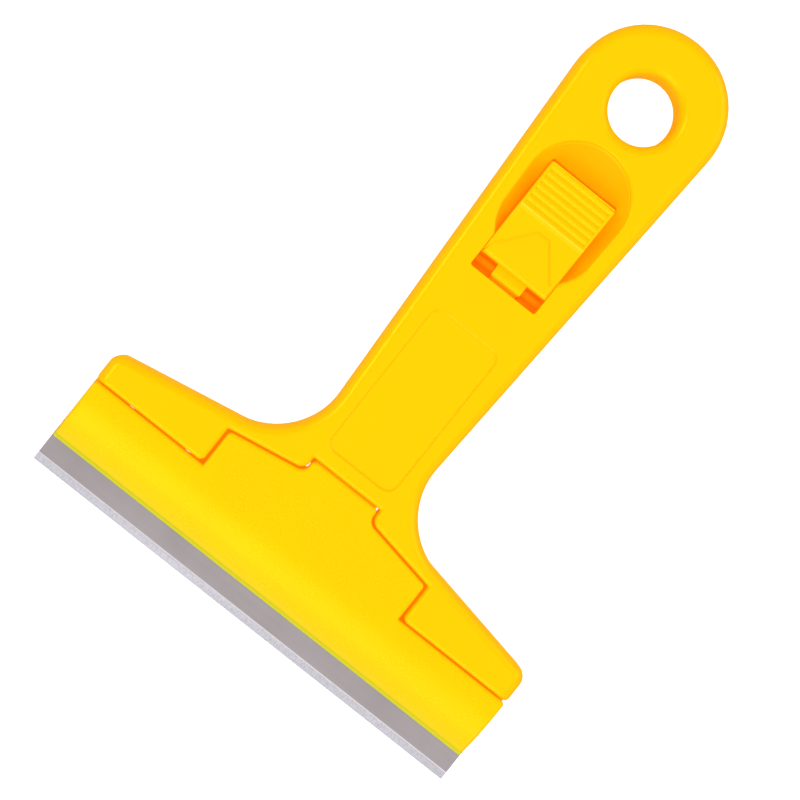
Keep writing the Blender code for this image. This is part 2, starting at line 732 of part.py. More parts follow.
def make_back_shell(parts, cutters):
    shell = plate("handle_back_shell", handle_outline(), 0.0, SEAT_LEVEL, parts)
    half = SEAT_LEVEL / 2
    weigh_edges(shell, lambda first, second: 1.0 if max(first.z, second.z) < WELD - half else 0.0)
    round_edges(shell, BACK_ROUND, ROUND_SEGMENTS)
    cut_back_slope(shell, cutters)
    cavity = grip_cavity_outline(PIVOT_LEVEL - BARREL_RADIUS - TONGUE_CLEARANCE)
    cut(shell, plate("back_cavity_cut", cavity, BACK_WALL, SEAT_LEVEL + OVERRUN, cutters))
    wing_pockets(shell, BACK_WALL, SEAT_LEVEL + OVERRUN, "back", cutters)
    add_back_bosses(shell, cutters)
    add_pin_keepers(shell, cutters)
    add_blade_pegs(shell, cutters)
    cut_vents(shell, cutters)
    return dress(shell, plastic("back shell plastic"))


def cut_back_slope(shell, cutters):
    """The plate under the blade thins to a lip, so that the tool can lie low on the work."""
    rise = SEAT_LEVEL - BACK_LIP_THICKNESS
    slope = rise / (BACK_SLOPE_LEVEL - JAW_LIP_LEVEL)
    front = JAW_LIP_LEVEL - OVERRUN
    points = [
        (front, -OVERRUN),
        (BACK_SLOPE_LEVEL + OVERRUN / slope, -OVERRUN),
        (front, rise + OVERRUN * slope),
    ]
    reach = HEAD_HALF_WIDTH + OVERRUN
    cut(shell, side_plate("back_slope_cut", points, -reach, reach, cutters))


def add_back_bosses(shell, cutters):
    low = BACK_WALL - OVERRUN
    top = SEAT_LEVEL - BOSS_RELIEF
    middle = (low + top) / 2
    height = top - low
    place = (0.0, HOLE_LEVEL, middle)
    add(shell, rod("hole_boss_back", HOLE_RADIUS + HOLE_WALL, height, place, "Z", cutters, FINE_SIDES))
    boss = SCREW_HEAD_RADIUS + SCREW_CLEARANCE + SCREW_BOSS_WALL
    for name, (x, y) in screw_places().items():
        if not name.startswith("wing"):
            add(shell, rod(name + "_seat", boss, height, (x, y, middle), "Z", cutters, COARSE_SIDES))
    post_height = POST_TOP - low
    place = (0.0, SPRING_LEVEL, low + post_height / 2)
    add(shell, rod("spring_post", POST_RADIUS, post_height, place, "Z", cutters, COARSE_SIDES))
    cut(shell, bpy.data.objects["hanging_hole_cut"])
    for name, (x, y) in screw_places().items():
        cut(shell, screw_hole_cutter(name + "_back_cut", x, y, cutters))


def add_pin_keepers(shell, cutters):
    """Posts that close the pivot slots and keep the jaw's pin in its bore."""
    outer = PIVOT_PIN_LENGTH / 2
    inner = THROAT_HALF_WIDTH + SHELL_GAP
    top = PIVOT_HEIGHT - PIVOT_PIN_RADIUS - SHELL_GAP
    half = PIVOT_PIN_RADIUS + PIN_CLEARANCE - SHELL_GAP
    for name, start, stop in (("right", inner, outer), ("left", -outer, -inner)):
        low = (start, PIVOT_LEVEL - half, SEAT_LEVEL - OVERRUN)
        high = (stop, PIVOT_LEVEL + half, top)
        add(shell, box("pin_keeper_" + name, low, high, cutters))


def add_blade_pegs(shell, cutters):
    """Two pegs in the open notches of the blade, no higher than the blade."""
    radius = NOTCH_RADIUS - SEAM_GAP
    low = SEAT_LEVEL - OVERRUN
    height = BLADE_HIGH - low
    level = BLADE_HEIGHT - NOTCH_DEPTH + NOTCH_RADIUS
    for name, x in (("right", NOTCH_SPACING / 2), ("left", -NOTCH_SPACING / 2)):
        add(shell, rod("blade_peg_" + name, radius, height, (x, level, low + height / 2), "Z", cutters))


def cut_vents(shell, cutters):
    """Small windows through the plate behind the blade's back edge."""
    for number, inset in enumerate(VENT_INSETS):
        for name, side in (("right", 1), ("left", -1)):
            middle = (HEAD_HALF_WIDTH - inset) * side
            low = (middle - VENT_WIDTH / 2, BLADE_HEIGHT - VENT_HEIGHT / 2, -OVERRUN)
            high = (middle + VENT_WIDTH / 2, BLADE_HEIGHT + VENT_HEIGHT / 2, SEAT_LEVEL + OVERRUN)
            cut(shell, box(f"vent_cut_{name}_{number}", low, high, cutters))


def make_jaw(parts, cutters):
    outline = rounded(mirrored(jaw_corners()))
    jaw = plate("clamp_jaw", outline, JAW_LOW, THICKNESS, parts)
    half = (THICKNESS - JAW_LOW) / 2
    weigh_edges(jaw, lambda first, second: 0.0 if min(first.z, second.z) < half - WELD else 1.0)
    round_edges(jaw, SEAM_ROUND, SEAM_SEGMENTS)
    cut_jaw_slope(jaw, cutters)
    cut_jaw_cores(jaw, cutters)
    add_tail(jaw, cutters)
    dress(jaw, plastic("jaw plastic"))
    hang_on(jaw, "jaw_axis", Vector((0.0, PIVOT_LEVEL, PIVOT_HEIGHT)), parts)
    return jaw


def cut_jaw_slope(jaw, cutters):
    """The front face falls in one arc from its flat to the thin lip on the blade."""
    run = SLOPE_TOP_LEVEL - JAW_LIP_LEVEL
    drop = THICKNESS - JAW_LOW - LIP_THICKNESS
    radius = (run ** 2 + drop ** 2) / (2 * drop)
    sweep = math.asin(run / radius)
    arc = []
    for step in range(SLOPE_STEPS + 1):
        angle = sweep * step / SLOPE_STEPS
        arc.append((SLOPE_TOP_LEVEL - radius * math.sin(angle), THICKNESS - radius * (1 - math.cos(angle))))
    low = arc[-1][1] - OVERRUN * math.tan(sweep)
    high = THICKNESS + OVERRUN
    front = JAW_LIP_LEVEL - OVERRUN
    points = [(front, low), *reversed(arc), (SLOPE_TOP_LEVEL, high), (front, high)]
    reach = JAW_HALF_WIDTH + OVERRUN
    cut(jaw, side_plate("jaw_slope_cut", points, -reach, reach, cutters))


def cut_jaw_cores(jaw, cutters):
    """Hollows in the jaw's underside between ribs, so that no wall is thick."""
    span = (JAW_HALF_WIDTH - CORE_WALL) * 2 / CORE_COUNT
    low_level = (JAW_LIP_LEVEL + JAW_TOP_LEVEL) / 2
    high_level = JAW_TOP_LEVEL - CORE_WALL
    roof = (JAW_LOW + THICKNESS) / 2
    for number in range(CORE_COUNT):
        start = CORE_WALL - JAW_HALF_WIDTH + span * number
        low = (start, low_level, JAW_LOW - OVERRUN)
        high = (start + span - CORE_WALL, high_level, roof)
        cut(jaw, box(f"jaw_core_{number}", low, high, cutters))
    reach = STEP_HALF_WIDTH - CORE_WALL
    width = (reach * 2 + CORE_WALL) / UPPER_CORE_COUNT
    for number in range(UPPER_CORE_COUNT):
        start = width * number - reach
        low = (start, JAW_TOP_LEVEL + CORE_WALL / 2, JAW_LOW - OVERRUN)
        high = (start + width - CORE_WALL, STEP_LEVEL - CORE_WALL, THICKNESS - FRONT_WALL)
        cut(jaw, box(f"jaw_upper_core_{number}", low, high, cutters))


def add_tail(jaw, cutters):
    """Tongue under the neck, barrel on the pivot pin, and the tail that the tab pushes down."""
    place = (0.0, PIVOT_LEVEL, PIVOT_HEIGHT)
    tongue = rounded([
        (STEP_LEVEL, JAW_LOW + SHELL_GAP, 0.0),
        (PIVOT_LEVEL, JAW_LOW + SHELL_GAP, 0.0),
        (PIVOT_LEVEL, PIVOT_HEIGHT - BARREL_RADIUS, 0.0),
        (PIVOT_LEVEL + BARREL_RADIUS, PIVOT_HEIGHT - BARREL_RADIUS, BARREL_RADIUS),
        (PIVOT_LEVEL + BARREL_RADIUS, PIVOT_HEIGHT + BARREL_RADIUS, BARREL_RADIUS),
        (STEP_LEVEL, PIVOT_HEIGHT + BARREL_RADIUS, 0.0),
    ])
    add(jaw, side_plate("jaw_tongue", tongue, -TONGUE_HALF_WIDTH, TONGUE_HALF_WIDTH, cutters))
    pusher_top = TAB_UNDERSIDE - SHELL_GAP
    end = PUSHER_LEVEL + PUSHER_LENGTH / 2
    start = PUSHER_LEVEL - PUSHER_LENGTH / 2
    profile = rounded([
        (PIVOT_LEVEL, TAIL_LOW, 0.0),
        (end, TAIL_LOW, PUSHER_ROUND),
        (end, pusher_top, PUSHER_ROUND),
        (start, pusher_top, PUSHER_ROUND),
        (start, TAIL_HIGH, PUSHER_ROUND),
        (PIVOT_LEVEL, TAIL_HIGH, 0.0),
    ])
    add(jaw, side_plate("jaw_tail", profile, -TAIL_HALF_WIDTH, TAIL_HALF_WIDTH, cutters))
    cup_height = CUP_TOP - TAIL_LOW
    cup_place = (0.0, SPRING_LEVEL, TAIL_LOW + cup_height / 2)
    add(jaw, rod("spring_cup", CUP_BORE + CUP_WALL, cup_height, cup_place, "Z", cutters, FINE_SIDES))
    bore_height = cup_height - CUP_ROOF + OVERRUN
    bore_place = (0.0, SPRING_LEVEL, TAIL_LOW - OVERRUN + bore_height / 2)
    cut(jaw, rod("spring_cup_bore", CUP_BORE, bore_height, bore_place, "Z", cutters, FINE_SIDES))
    bore = PIVOT_PIN_RADIUS + PIN_CLEARANCE
    length = (TONGUE_HALF_WIDTH + OVERRUN) * 2
    cut(jaw, rod("jaw_pivot_bore", bore, length, place, "X", cutters))


def tab_profile():
    """Side view of the press tab: flat front part, then a raised pad of rounded ridges."""
    points = [
        (TAB_LOW_END, TAB_UNDERSIDE),
        (TAB_HIGH_END, TAB_UNDERSIDE),
    ]
    pitch = (TAB_HIGH_END - PAD_START) / RIDGE_COUNT
    groove = THICKNESS + PAD_HEIGHT - RIDGE_HEIGHT
    for ridge in range(RIDGE_COUNT):
        far = TAB_HIGH_END - pitch * ridge
        for step in range(RIDGE_STEPS):
            along = pitch * step / RIDGE_STEPS
            points.append((far - along, groove + RIDGE_HEIGHT * math.sin(math.pi * step / RIDGE_STEPS)))
    points.append((PAD_START, groove))
    points.append((PAD_START, THICKNESS))
    for step in range(ROUND_SEGMENTS + 1):
        angle = math.pi / 2 * step / ROUND_SEGMENTS
        points.append((
            TAB_LOW_END + TAB_EDGE_ROUND * (1 - math.sin(angle)),
            THICKNESS - TAB_EDGE_ROUND * (1 - math.cos(angle)),
        ))
    return points


def make_tab(parts, cutters):
    half = TAB_HALF_WIDTH
    tab = side_plate("press_tab", tab_profile(), -half, half, parts)
    top = TAB_UNDERSIDE + SKIRT_WALL / 2
    inner = half - SKIRT_WALL
    end_start = TAB_HIGH_END - SKIRT_WALL
    for name, start, stop in (("right", inner, half), ("left", -half, -inner)):
        low = (start, SKIRT_START, SKIRT_LOW)
        high = (stop, TAB_HIGH_END, top)
        add(tab, box("tab_skirt_" + name, low, high, cutters))
    low = (-half, end_start, SKIRT_LOW)
    high = (half, TAB_HIGH_END, top)
    add(tab, box("tab_skirt_end", low, high, cutters))
    add_knuckle(tab, cutters)
    dress(tab, plastic("tab plastic"))
    hang_on(tab, "tab_axis", Vector((0.0, HINGE_LEVEL, HINGE_HEIGHT)), parts)
    return tab


def add_knuckle(tab, cutters):
    near = HINGE_LEVEL - KNUCKLE_REACH
    low = HINGE_HEIGHT - KNUCKLE_REACH
    far = TAB_LOW_END + KNUCKLE_ROOT
    middle = TAB_UNDERSIDE + TAB_THICKNESS / 4
    profile = rounded([
        (near, low, KNUCKLE_ROUND),
        (HINGE_LEVEL + KNUCKLE_REACH, low, KNUCKLE_ROUND),
        (far, TAB_UNDERSIDE, 0.0),
        (far, middle, 0.0),
        (TAB_LOW_END + TAB_EDGE_ROUND, THICKNESS - SHELL_GAP, 0.0),
        (near, THICKNESS - SHELL_GAP, KNUCKLE_ROUND),
    ])
    add(tab, side_plate("tab_knuckle", profile, -KNUCKLE_HALF_WIDTH, KNUCKLE_HALF_WIDTH, cutters))
    bore = HINGE_PIN_RADIUS + PIN_CLEARANCE
    length = (KNUCKLE_HALF_WIDTH + OVERRUN) * 2
    cut(tab, rod("knuckle_bore", bore, length, (0.0, HINGE_LEVEL, HINGE_HEIGHT), "X", cutters, COARSE_SIDES))


def make_blade(parts, cutters):
    middle = (BLADE_LOW + BLADE_HIGH) / 2
    profile = [
        (0.0, middle),
        (BLADE_BEVEL, BLADE_LOW),
        (BLADE_HEIGHT, BLADE_LOW),
        (BLADE_HEIGHT, BLADE_HIGH),
        (BLADE_BEVEL, BLADE_HIGH),
    ]
    blade = side_plate("blade", profile, -BLADE_WIDTH / 2, BLADE_WIDTH / 2, parts)
    level = BLADE_HEIGHT - NOTCH_DEPTH
    for name, x in (("right", NOTCH_SPACING / 2), ("left", -NOTCH_SPACING / 2)):
        notch = rounded([
            (x - NOTCH_RADIUS, level, NOTCH_RADIUS - WELD),
            (x + NOTCH_RADIUS, level, NOTCH_RADIUS - WELD),
            (x + NOTCH_RADIUS, BLADE_HEIGHT + OVERRUN, 0.0),
            (x - NOTCH_RADIUS, BLADE_HEIGHT + OVERRUN, 0.0),
        ])
        cut(blade, plate("notch_cut_" + name, notch, BLADE_LOW - OVERRUN, BLADE_HIGH + OVERRUN, cutters))
    dress(blade, finish_material("blade steel", BLADE_GREY, STEEL_ROUGHNESS, 1.0))
    hang_on(blade, "blade_axis", Vector((0.0, 0.0, middle)), parts)
    return blade


def make_pins(parts):
    place = (0.0, PIVOT_LEVEL, PIVOT_HEIGHT)
    pivot = rod("jaw_pivot_pin", PIVOT_PIN_RADIUS, PIVOT_PIN_LENGTH, place, "X", parts)
    dress(pivot, steel("pivot pin steel"))
    place = (0.0, HINGE_LEVEL, HINGE_HEIGHT)
    hinge = rod("tab_hinge_pin", HINGE_PIN_RADIUS, HINGE_PIN_LENGTH, place, "X", parts)
    dress(hinge, steel("hinge pin steel"))


def least_gap_of_coil(points, near_count):
    """Least clear distance between stretches of the wire that aren't neighbours along it."""
    least = math.inf
    for index, point in enumerate(points):
        for other in points[index + near_count:]:
            least = min(least, (point - other).length)
    return least - WIRE_RADIUS * 2


def make_spring(parts):
    """Compression coil between the back shell's floor and the roof of the tail's cup."""
    low = BACK_WALL + SPRING_GAP + WIRE_RADIUS
    high = CUP_TOP - CUP_ROOF - SPRING_GAP - WIRE_RADIUS
    count = round(SPRING_CURLS * CURL_POINTS)
    points = []
    for step in range(count + 1):
        angle = math.tau * step / CURL_POINTS
        height = low + (high - low) * step / count
        points.append(Vector((SPRING_RADIUS * math.cos(angle), SPRING_RADIUS * math.sin(angle), height)))
    curve = bpy.data.curves.new("clamp_spring", "CURVE")
    curve.dimensions = "3D"
    curve.bevel_depth = WIRE_RADIUS
    curve.bevel_resolution = 1
    curve.use_fill_caps = True
    spline = curve.splines.new("POLY")
    spline.points.add(count)
    for spot, point in zip(spline.points, points):
        spot.co = (*point, 1.0)
    made = bpy.data.objects.new("clamp_spring", curve)
    made.location = (0.0, SPRING_LEVEL, 0.0)
    parts.objects.link(made)
    dress(made, steel("spring steel"))
    gap = least_gap_of_coil(points, CURL_POINTS // 2)
    print("clamp spring: least gap between its curls, in mm:", round(gap * 1000, 3))


def make_screw(name, x, y, parts, cutters):
    """Pan head screw pointing up into the front shell, its head sunk in the back."""
    shank_top = SCREW_LENGTH
    head_top = SCREW_HEAD_HEIGHT
    profile = [
        (0.0, shank_top),
        (SCREW_SHANK_RADIUS / 2, shank_top),
        (SCREW_SHANK_RADIUS, shank_top - SCREW_TIP),
        (SCREW_SHANK_RADIUS, head_top),
        (SCREW_HEAD_RADIUS, head_top),
        (SCREW_HEAD_RADIUS, SCREW_HEAD_ROUND),
        (SCREW_HEAD_RADIUS - SCREW_HEAD_ROUND, 0.0),
        (0.0, 0.0),
    ]
    screw = turned(name, profile, COARSE_SIDES, parts)
    screw.location = (x, y, SCREW_SINK)
    half = SCREW_RECESS_LENGTH / 2
    thin = SCREW_RECESS_WIDTH / 2
    floor = SCREW_SINK - OVERRUN
    roof = SCREW_SINK + SCREW_RECESS_DEPTH
    for arm, across, along in (("x", half, thin), ("y", thin, half)):
        low = (x - across, y - along, floor)
        high = (x + across, y + along, roof)
        cut(screw, box(f"{name}_slot_{arm}", low, high, cutters))
    dress(screw, steel(name + " steel"))


def centre_tool():
    """Move the whole tool so that the origin lies below the middle of its length."""
    for item in bpy.data.objects:
        if item.parent is None:
            item.location.y -= TOOL_LENGTH / 2


def main():
    clear_scene()
    parts = new_collection("cleaning_scraper")
    cutters = new_collection("cutters")
    make_front_shell(parts, cutters)
    make_back_shell(parts, cutters)
    make_jaw(parts, cutters)
    make_tab(parts, cutters)
    make_blade(parts, cutters)
    make_pins(parts)
    make_spring(parts)
    for name, (x, y) in screw_places().items():
        make_screw(name, x, y, parts, cutters)
    centre_tool()


main()
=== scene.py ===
# Hand scraper with a wide clamped blade: the looks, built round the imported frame
import math

import bpy
from mathutils import Matrix, Vector


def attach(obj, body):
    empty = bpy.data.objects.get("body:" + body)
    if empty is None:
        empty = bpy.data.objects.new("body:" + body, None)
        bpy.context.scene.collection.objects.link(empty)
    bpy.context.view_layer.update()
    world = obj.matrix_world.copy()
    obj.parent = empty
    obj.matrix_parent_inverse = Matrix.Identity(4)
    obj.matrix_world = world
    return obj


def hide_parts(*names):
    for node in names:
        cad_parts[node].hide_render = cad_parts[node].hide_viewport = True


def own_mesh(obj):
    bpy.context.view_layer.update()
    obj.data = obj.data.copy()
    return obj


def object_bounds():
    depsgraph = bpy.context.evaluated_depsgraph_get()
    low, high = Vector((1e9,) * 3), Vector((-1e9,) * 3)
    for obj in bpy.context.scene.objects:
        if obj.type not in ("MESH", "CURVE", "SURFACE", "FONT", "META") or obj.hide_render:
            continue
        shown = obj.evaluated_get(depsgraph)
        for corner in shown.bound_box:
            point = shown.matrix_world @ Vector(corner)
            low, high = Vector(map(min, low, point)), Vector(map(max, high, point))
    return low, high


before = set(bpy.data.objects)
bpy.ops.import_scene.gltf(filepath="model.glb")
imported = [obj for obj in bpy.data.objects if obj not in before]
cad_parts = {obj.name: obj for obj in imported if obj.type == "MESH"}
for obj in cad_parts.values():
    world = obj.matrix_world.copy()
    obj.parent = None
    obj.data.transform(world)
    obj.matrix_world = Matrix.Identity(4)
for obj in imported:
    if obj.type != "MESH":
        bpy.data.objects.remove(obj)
cadBox = [list(corner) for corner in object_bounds()]
edgeY = cadBox[0][1]   # the cutting edge, from which all levels below are counted
print("frame loaded:", len(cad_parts), "nodes")


# Camera, at the photograph's place and lens

camera = {
    "place": (-0.03032, 0.04888, 0.59572),   # x, level, height
    "aim": (-0.00195, 0.05242, 0.0080),
    "roll": 38.48,   # degrees
    "lens": 138.16, "sensor": 36.0,   # millimetres
}


def at(x, level, z):
    return Vector((x, edgeY + level, z))


def makeCamera():
    data = bpy.data.cameras.new("photoCamera")
    data.lens = camera["lens"]
    data.sensor_width = camera["sensor"]
    data.clip_start = 0.01
    viewer = bpy.data.objects.new("photoCamera", data)
    bpy.context.scene.collection.objects.link(viewer)
    place = at(*camera["place"])
    look = (at(*camera["aim"]) - place).normalized()
    side = look.cross(Vector((0, 1, 0))).normalized()
    level = Matrix((side, side.cross(look), -look)).transposed()
    turned = level @ Matrix.Rotation(math.radians(camera["roll"]), 3, "Z")
    viewer.matrix_world = Matrix.Translation(place) @ turned.to_4x4()
    bpy.context.scene.camera = viewer


# Modelling helpers

near = 0.00001      # places closer than this count as one
weld = 0.000002     # points closer than this are merged
hair = 0.0001       # keeps two faces that nearly meet out of one plane
overrun = 0.0010    # how far a cutting tool stands past what it cuts
crease = 0.3        # markedEdges passes over edges flatter than this, in radians
smoothAngle = 32    # in degrees


def deselectAll():
    if bpy.context.object and bpy.context.object.mode != "OBJECT":
        bpy.ops.object.mode_set(mode="OBJECT")
    bpy.ops.object.select_all(action="DESELECT")


def makeActive(piece):
    deselectAll()
    piece.select_set(True)
    bpy.context.view_layer.objects.active = piece


def applyAll(piece):
    makeActive(piece)
    for modifier in list(piece.modifiers):
        bpy.ops.object.modifier_apply(modifier=modifier.name)


def openMesh(piece, action="SELECT"):
    # edit mode, with all of the piece selected or none of it
    makeActive(piece)
    bpy.ops.object.mode_set(mode="EDIT")
    bpy.ops.mesh.select_all(action=action)


def closeMesh(facesOut=False):
    if facesOut:
        bpy.ops.mesh.select_all(action="SELECT")
        bpy.ops.mesh.normals_make_consistent(inside=False)
    bpy.ops.object.mode_set(mode="OBJECT")


def settle(piece):
    makeActive(piece)
    bpy.ops.object.transform_apply(location=True, rotation=True, scale=True)


def pointRing(name, count, fill="NOTHING"):
    # a ring of points, which are then put in their places
    deselectAll()
    bpy.ops.mesh.primitive_circle_add(vertices=count, radius=0.01, fill_type=fill)
    piece = bpy.context.object
    piece.name = name
    return piece


def outlineFace(name, corners, steps):
    piece = pointRing(name, len(corners), "NGON")
    reaches = cornerReaches(corners)
    widest = max(reaches)
    weight = piece.data.attributes.new("bevel_weight_vert", "FLOAT", "POINT")
    for index, (x, y, _) in enumerate(corners):
        piece.data.vertices[index].co = (x, y, 0)
        weight.data[index].value = reaches[index] / widest if widest else 0
    if widest:
        bend = piece.modifiers.new("corners", "BEVEL")
        bend.affect = "VERTICES"
        bend.limit_method = "WEIGHT"
        bend.width = widest
        bend.segments = steps
        bend.use_clamp_overlap = False
        applyAll(piece)
    return piece


def cornerReaches(corners):
    reaches = []
    for index, (x, y, radius) in enumerate(corners):
        into = Vector((x, y)) - Vector(corners[index - 1][:2])
        after = Vector(corners[(index + 1) % len(corners)][:2]) - Vector((x, y))
        reaches.append(radius * math.tan(abs(into.angle_signed(after)) / 2))
    return reaches


def raisePlate(name, corners, low, high, steps=14):
    # corners are x, level, radius; the outline is drawn, its corners bent, and it is extruded
    piece = outlineFace(name, [(x, edgeY + level, radius) for x, level, radius in corners], steps)
    piece.location.z = low
    settle(piece)
    extrude(piece, (0, 0, high - low))
    return piece


def halve(piece):
    # an edge loop down the middle, so that no flat face is left with a hole inside it
    openMesh(piece)
    bpy.ops.mesh.bisect(plane_co=(0, 0, 0), plane_no=(1, 0, 0))
    closeMesh()


def raiseSide(name, corners, left, right, steps=8):
    # corners are level, z, radius; the outline stands in the YZ plane and is extruded along X
    piece = outlineFace(name, [(edgeY + level, z, radius) for level, z, radius in corners], steps)
    stand = Matrix(((0, 0, 1), (1, 0, 0), (0, 1, 0)))
    piece.data.transform(stand.to_4x4())
    piece.location.x = left
    settle(piece)
    extrude(piece, (right - left, 0, 0))
    return piece


def extrude(piece, move):
    openMesh(piece)
    bpy.ops.mesh.remove_doubles(threshold=weld)
    bpy.ops.mesh.extrude_region_move(TRANSFORM_OT_translate={"value": move})
    closeMesh(facesOut=True)


def block(name, low, high):
    deselectAll()
    low, high = at(*low), at(*high)
    bpy.ops.mesh.primitive_cube_add(size=1, location=(low + high) / 2, scale=high - low)
    piece = bpy.context.object
    piece.name = name
    settle(piece)
    return piece


def bar(name, radius, length, middle, along="Z", sides=48):
    deselectAll()
    turn = (0, math.pi / 2, 0) if along == "X" else (0, 0, 0)
    bpy.ops.mesh.primitive_cylinder_add(
        vertices=sides, radius=radius, depth=length, location=at(*middle), rotation=turn)
    piece = bpy.context.object
    piece.name = name
    settle(piece)
    return piece


def spun(name, profile, x, level, steps=64):
    # profile is (radius, z) from the axis round to the axis again, spun about a vertical line
    piece = pointRing(name, len(profile))
    for index, (radius, z) in enumerate(profile):
        piece.data.vertices[index].co = (radius, 0, z)
    middle = at(x, level, 0)
    piece.location = middle
    openMesh(piece)
    bpy.ops.mesh.spin(steps=steps, angle=math.tau, center=middle, axis=(0, 0, 1))
    bpy.ops.mesh.select_all(action="SELECT")
    bpy.ops.mesh.remove_doubles(threshold=weld)
    bpy.ops.mesh.dissolve_degenerate(threshold=weld / 2)
    bpy.ops.mesh.delete_loose()
    closeMesh(facesOut=True)
    settle(piece)
    return piece


def markMaterial(name):
    return bpy.data.materials.get("mark " + name) or bpy.data.materials.new("mark " + name)


def combine(piece, tool, how, mark=None):
    tool.data.materials.clear()
    tool.data.materials.append(markMaterial(mark or "plain"))
    if not piece.data.materials:
        piece.data.materials.append(markMaterial("body"))
    change = piece.modifiers.new(how, "BOOLEAN")
    change.operation = how
    change.solver = "EXACT"
    change.material_mode = "TRANSFER"
    change.object = tool
    applyAll(piece)
    bpy.data.objects.remove(tool, do_unlink=True)


def carve(piece, tool, mark=None):
    combine(piece, tool, "DIFFERENCE", mark)


def fuse(piece, tool, mark=None):
    combine(piece, tool, "UNION", mark)


def markedEdges(piece, mark, rule):
    # edges between a face left by the marked cutter and any other face, where the rule agrees
    wanted = piece.data.materials.find("mark " + mark)
    sides = {}
    for face in piece.data.polygons:
        for key in face.edge_keys:
            sides.setdefault(key, []).append(face)
    found = []
    for edge in piece.data.edges:
        faces = sides.get(edge.key, [])
        if len(faces) != 2:
            continue
        if (faces[0].material_index == wanted) == (faces[1].material_index == wanted):
            continue
        ends = [piece.data.vertices[index].co for index in edge.vertices]
        if faces[0].normal.angle(faces[1].normal, 0) > crease and rule(ends[0], ends[1]):
            found.append(edge.index)
    return found


def above(height):
    return lambda one, two: min(one.z, two.z) > height


def below(height):
    return lambda one, two: max(one.z, two.z) < height


def reaching(height):
    return lambda one, two: max(one.z, two.z) > height


def roundEdges(piece, wanted, radius, steps):
    weight = piece.data.attributes.get("bevel_weight_edge")
    weight = weight or piece.data.attributes.new("bevel_weight_edge", "FLOAT", "EDGE")
    for item in weight.data:
        item.value = 0
    for index in wanted:
        weight.data[index].value = 1
    ease = piece.modifiers.new("ease", "BEVEL")
    ease.limit_method = "WEIGHT"
    ease.width = radius
    ease.segments = steps
    ease.use_clamp_overlap = False
    ease.loop_slide = True
    applyAll(piece)
    piece.data.attributes.remove(piece.data.attributes["bevel_weight_edge"])


def edgesWhere(piece, rule):
    found = []
    for edge in piece.data.edges:
        ends = [piece.data.vertices[index].co for index in edge.vertices]
        if rule(ends[0], ends[1]):
            found.append(edge.index)
    return found


def finishPiece(piece, material, body, slot, *nodes):
    openMesh(piece)
    bpy.ops.mesh.remove_doubles(threshold=weld / 2)
    closeMesh()
    piece.data.materials.clear()
    piece.data.materials.append(material)
    for face in piece.data.polygons:
        face.material_index = 0
    bpy.ops.object.shade_smooth_by_angle(angle=math.radians(smoothAngle))
    even = piece.modifiers.new("even", "WEIGHTED_NORMAL")
    even.keep_sharp = True
    even.weight = 100
    applyAll(piece)
    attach(piece, body)
    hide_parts(*nodes)
    print(piece.name, "made:", len(piece.data.polygons), "faces")


# Outlines that several pieces share, as x, level and radius

plan = {
    "headHalf": 0.0500, "neckHalf": 0.0120, "neckLevel": 0.0503, "taper": 0.0519,
    "shoulderX": 0.02476, "shoulderLevel": 0.0310, "shoulderSlope": 0.187,
    "neckFillet": 0.0145, "wingCorner": 0.0028, "length": cadBox[1][1] - edgeY,
    "lipLevel": 0.0059, "lipCorner": 0.0025,
    "jawTop": 0.0194, "stepHalf": 0.02375, "stepLevel": 0.02755, "stepSlope": 0.178,
    "neckPlateHalf": 0.00775, "neckPlateLevel": 0.0333, "seam": 0.00035,
    "seat": 0.0046, "frontLow": 0.0049, "front": 0.0120,
    "frontWall": 0.0020, "backWall": 0.0018, "sideWall": 0.0020,
    "outerRound": 0.0022, "backRound": 0.0018, "cavityCorner": 0.0005, "pocketCorner": 0.0004,
}


def gripHalf(level):
    return plan["neckHalf"] + plan["taper"] * (level - plan["neckLevel"])


def bothSides(rightHalf):
    return rightHalf + [(-x, level, radius) for x, level, radius in reversed(rightHalf)]


def roundEnd(before, half, level):
    # the corner whose radius makes the end a full round
    lean = math.pi / 2 - math.atan((half - before[0]) / (level - before[1]))
    return half, level, half * math.tan(lean / 2)


def handleCorners():
    slope = plan["shoulderSlope"]
    top = plan["shoulderLevel"] + slope * (plan["shoulderX"] - gripHalf(0))
    neckLevel = top / (1 + slope * plan["taper"])
    neck = (gripHalf(neckLevel), neckLevel)
    wingEnd = plan["shoulderLevel"] - slope * (plan["headHalf"] - plan["shoulderX"])
    return bothSides([
        (plan["headHalf"], plan["lipLevel"], plan["lipCorner"]),
        (plan["headHalf"], wingEnd, plan["wingCorner"]),
        (*neck, plan["neckFillet"]),
        roundEnd(neck, gripHalf(plan["length"]), plan["length"]),
    ])


jaw = {
    "half": 0.0498, "low": 0.0056, "lipCorner": 0.0007, "backCorner": 0.0007,
    "footCorner": 0.0002, "stepCorner": 0.00095, "plateFillet": 0.0019, "plateCorner": 0.0009,
    "seamRound": 0.00065, "lipRound": 0.00028, "lipThickness": 0.0013, "slopeTop": 0.0184,
    "tongueLift": 0.0003,
    "slopeSteps": 40, "coreWall": 0.0016, "coreCount": 9, "upperCoreCount": 4,
    "barrel": 0.0023, "tongueHalf": 0.0073, "tailHalf": 0.0032, "tailLow": 0.0054, "tailHigh": 0.0072,
    "pusher": (0.1007, 0.1029), "pusherTop": 0.0097, "pusherRound": 0.0007,   # levels of its two faces
    "cupBore": 0.0031, "cupWall": 0.0008, "cupRoof": 0.0012, "cupTop": 0.0094,
}


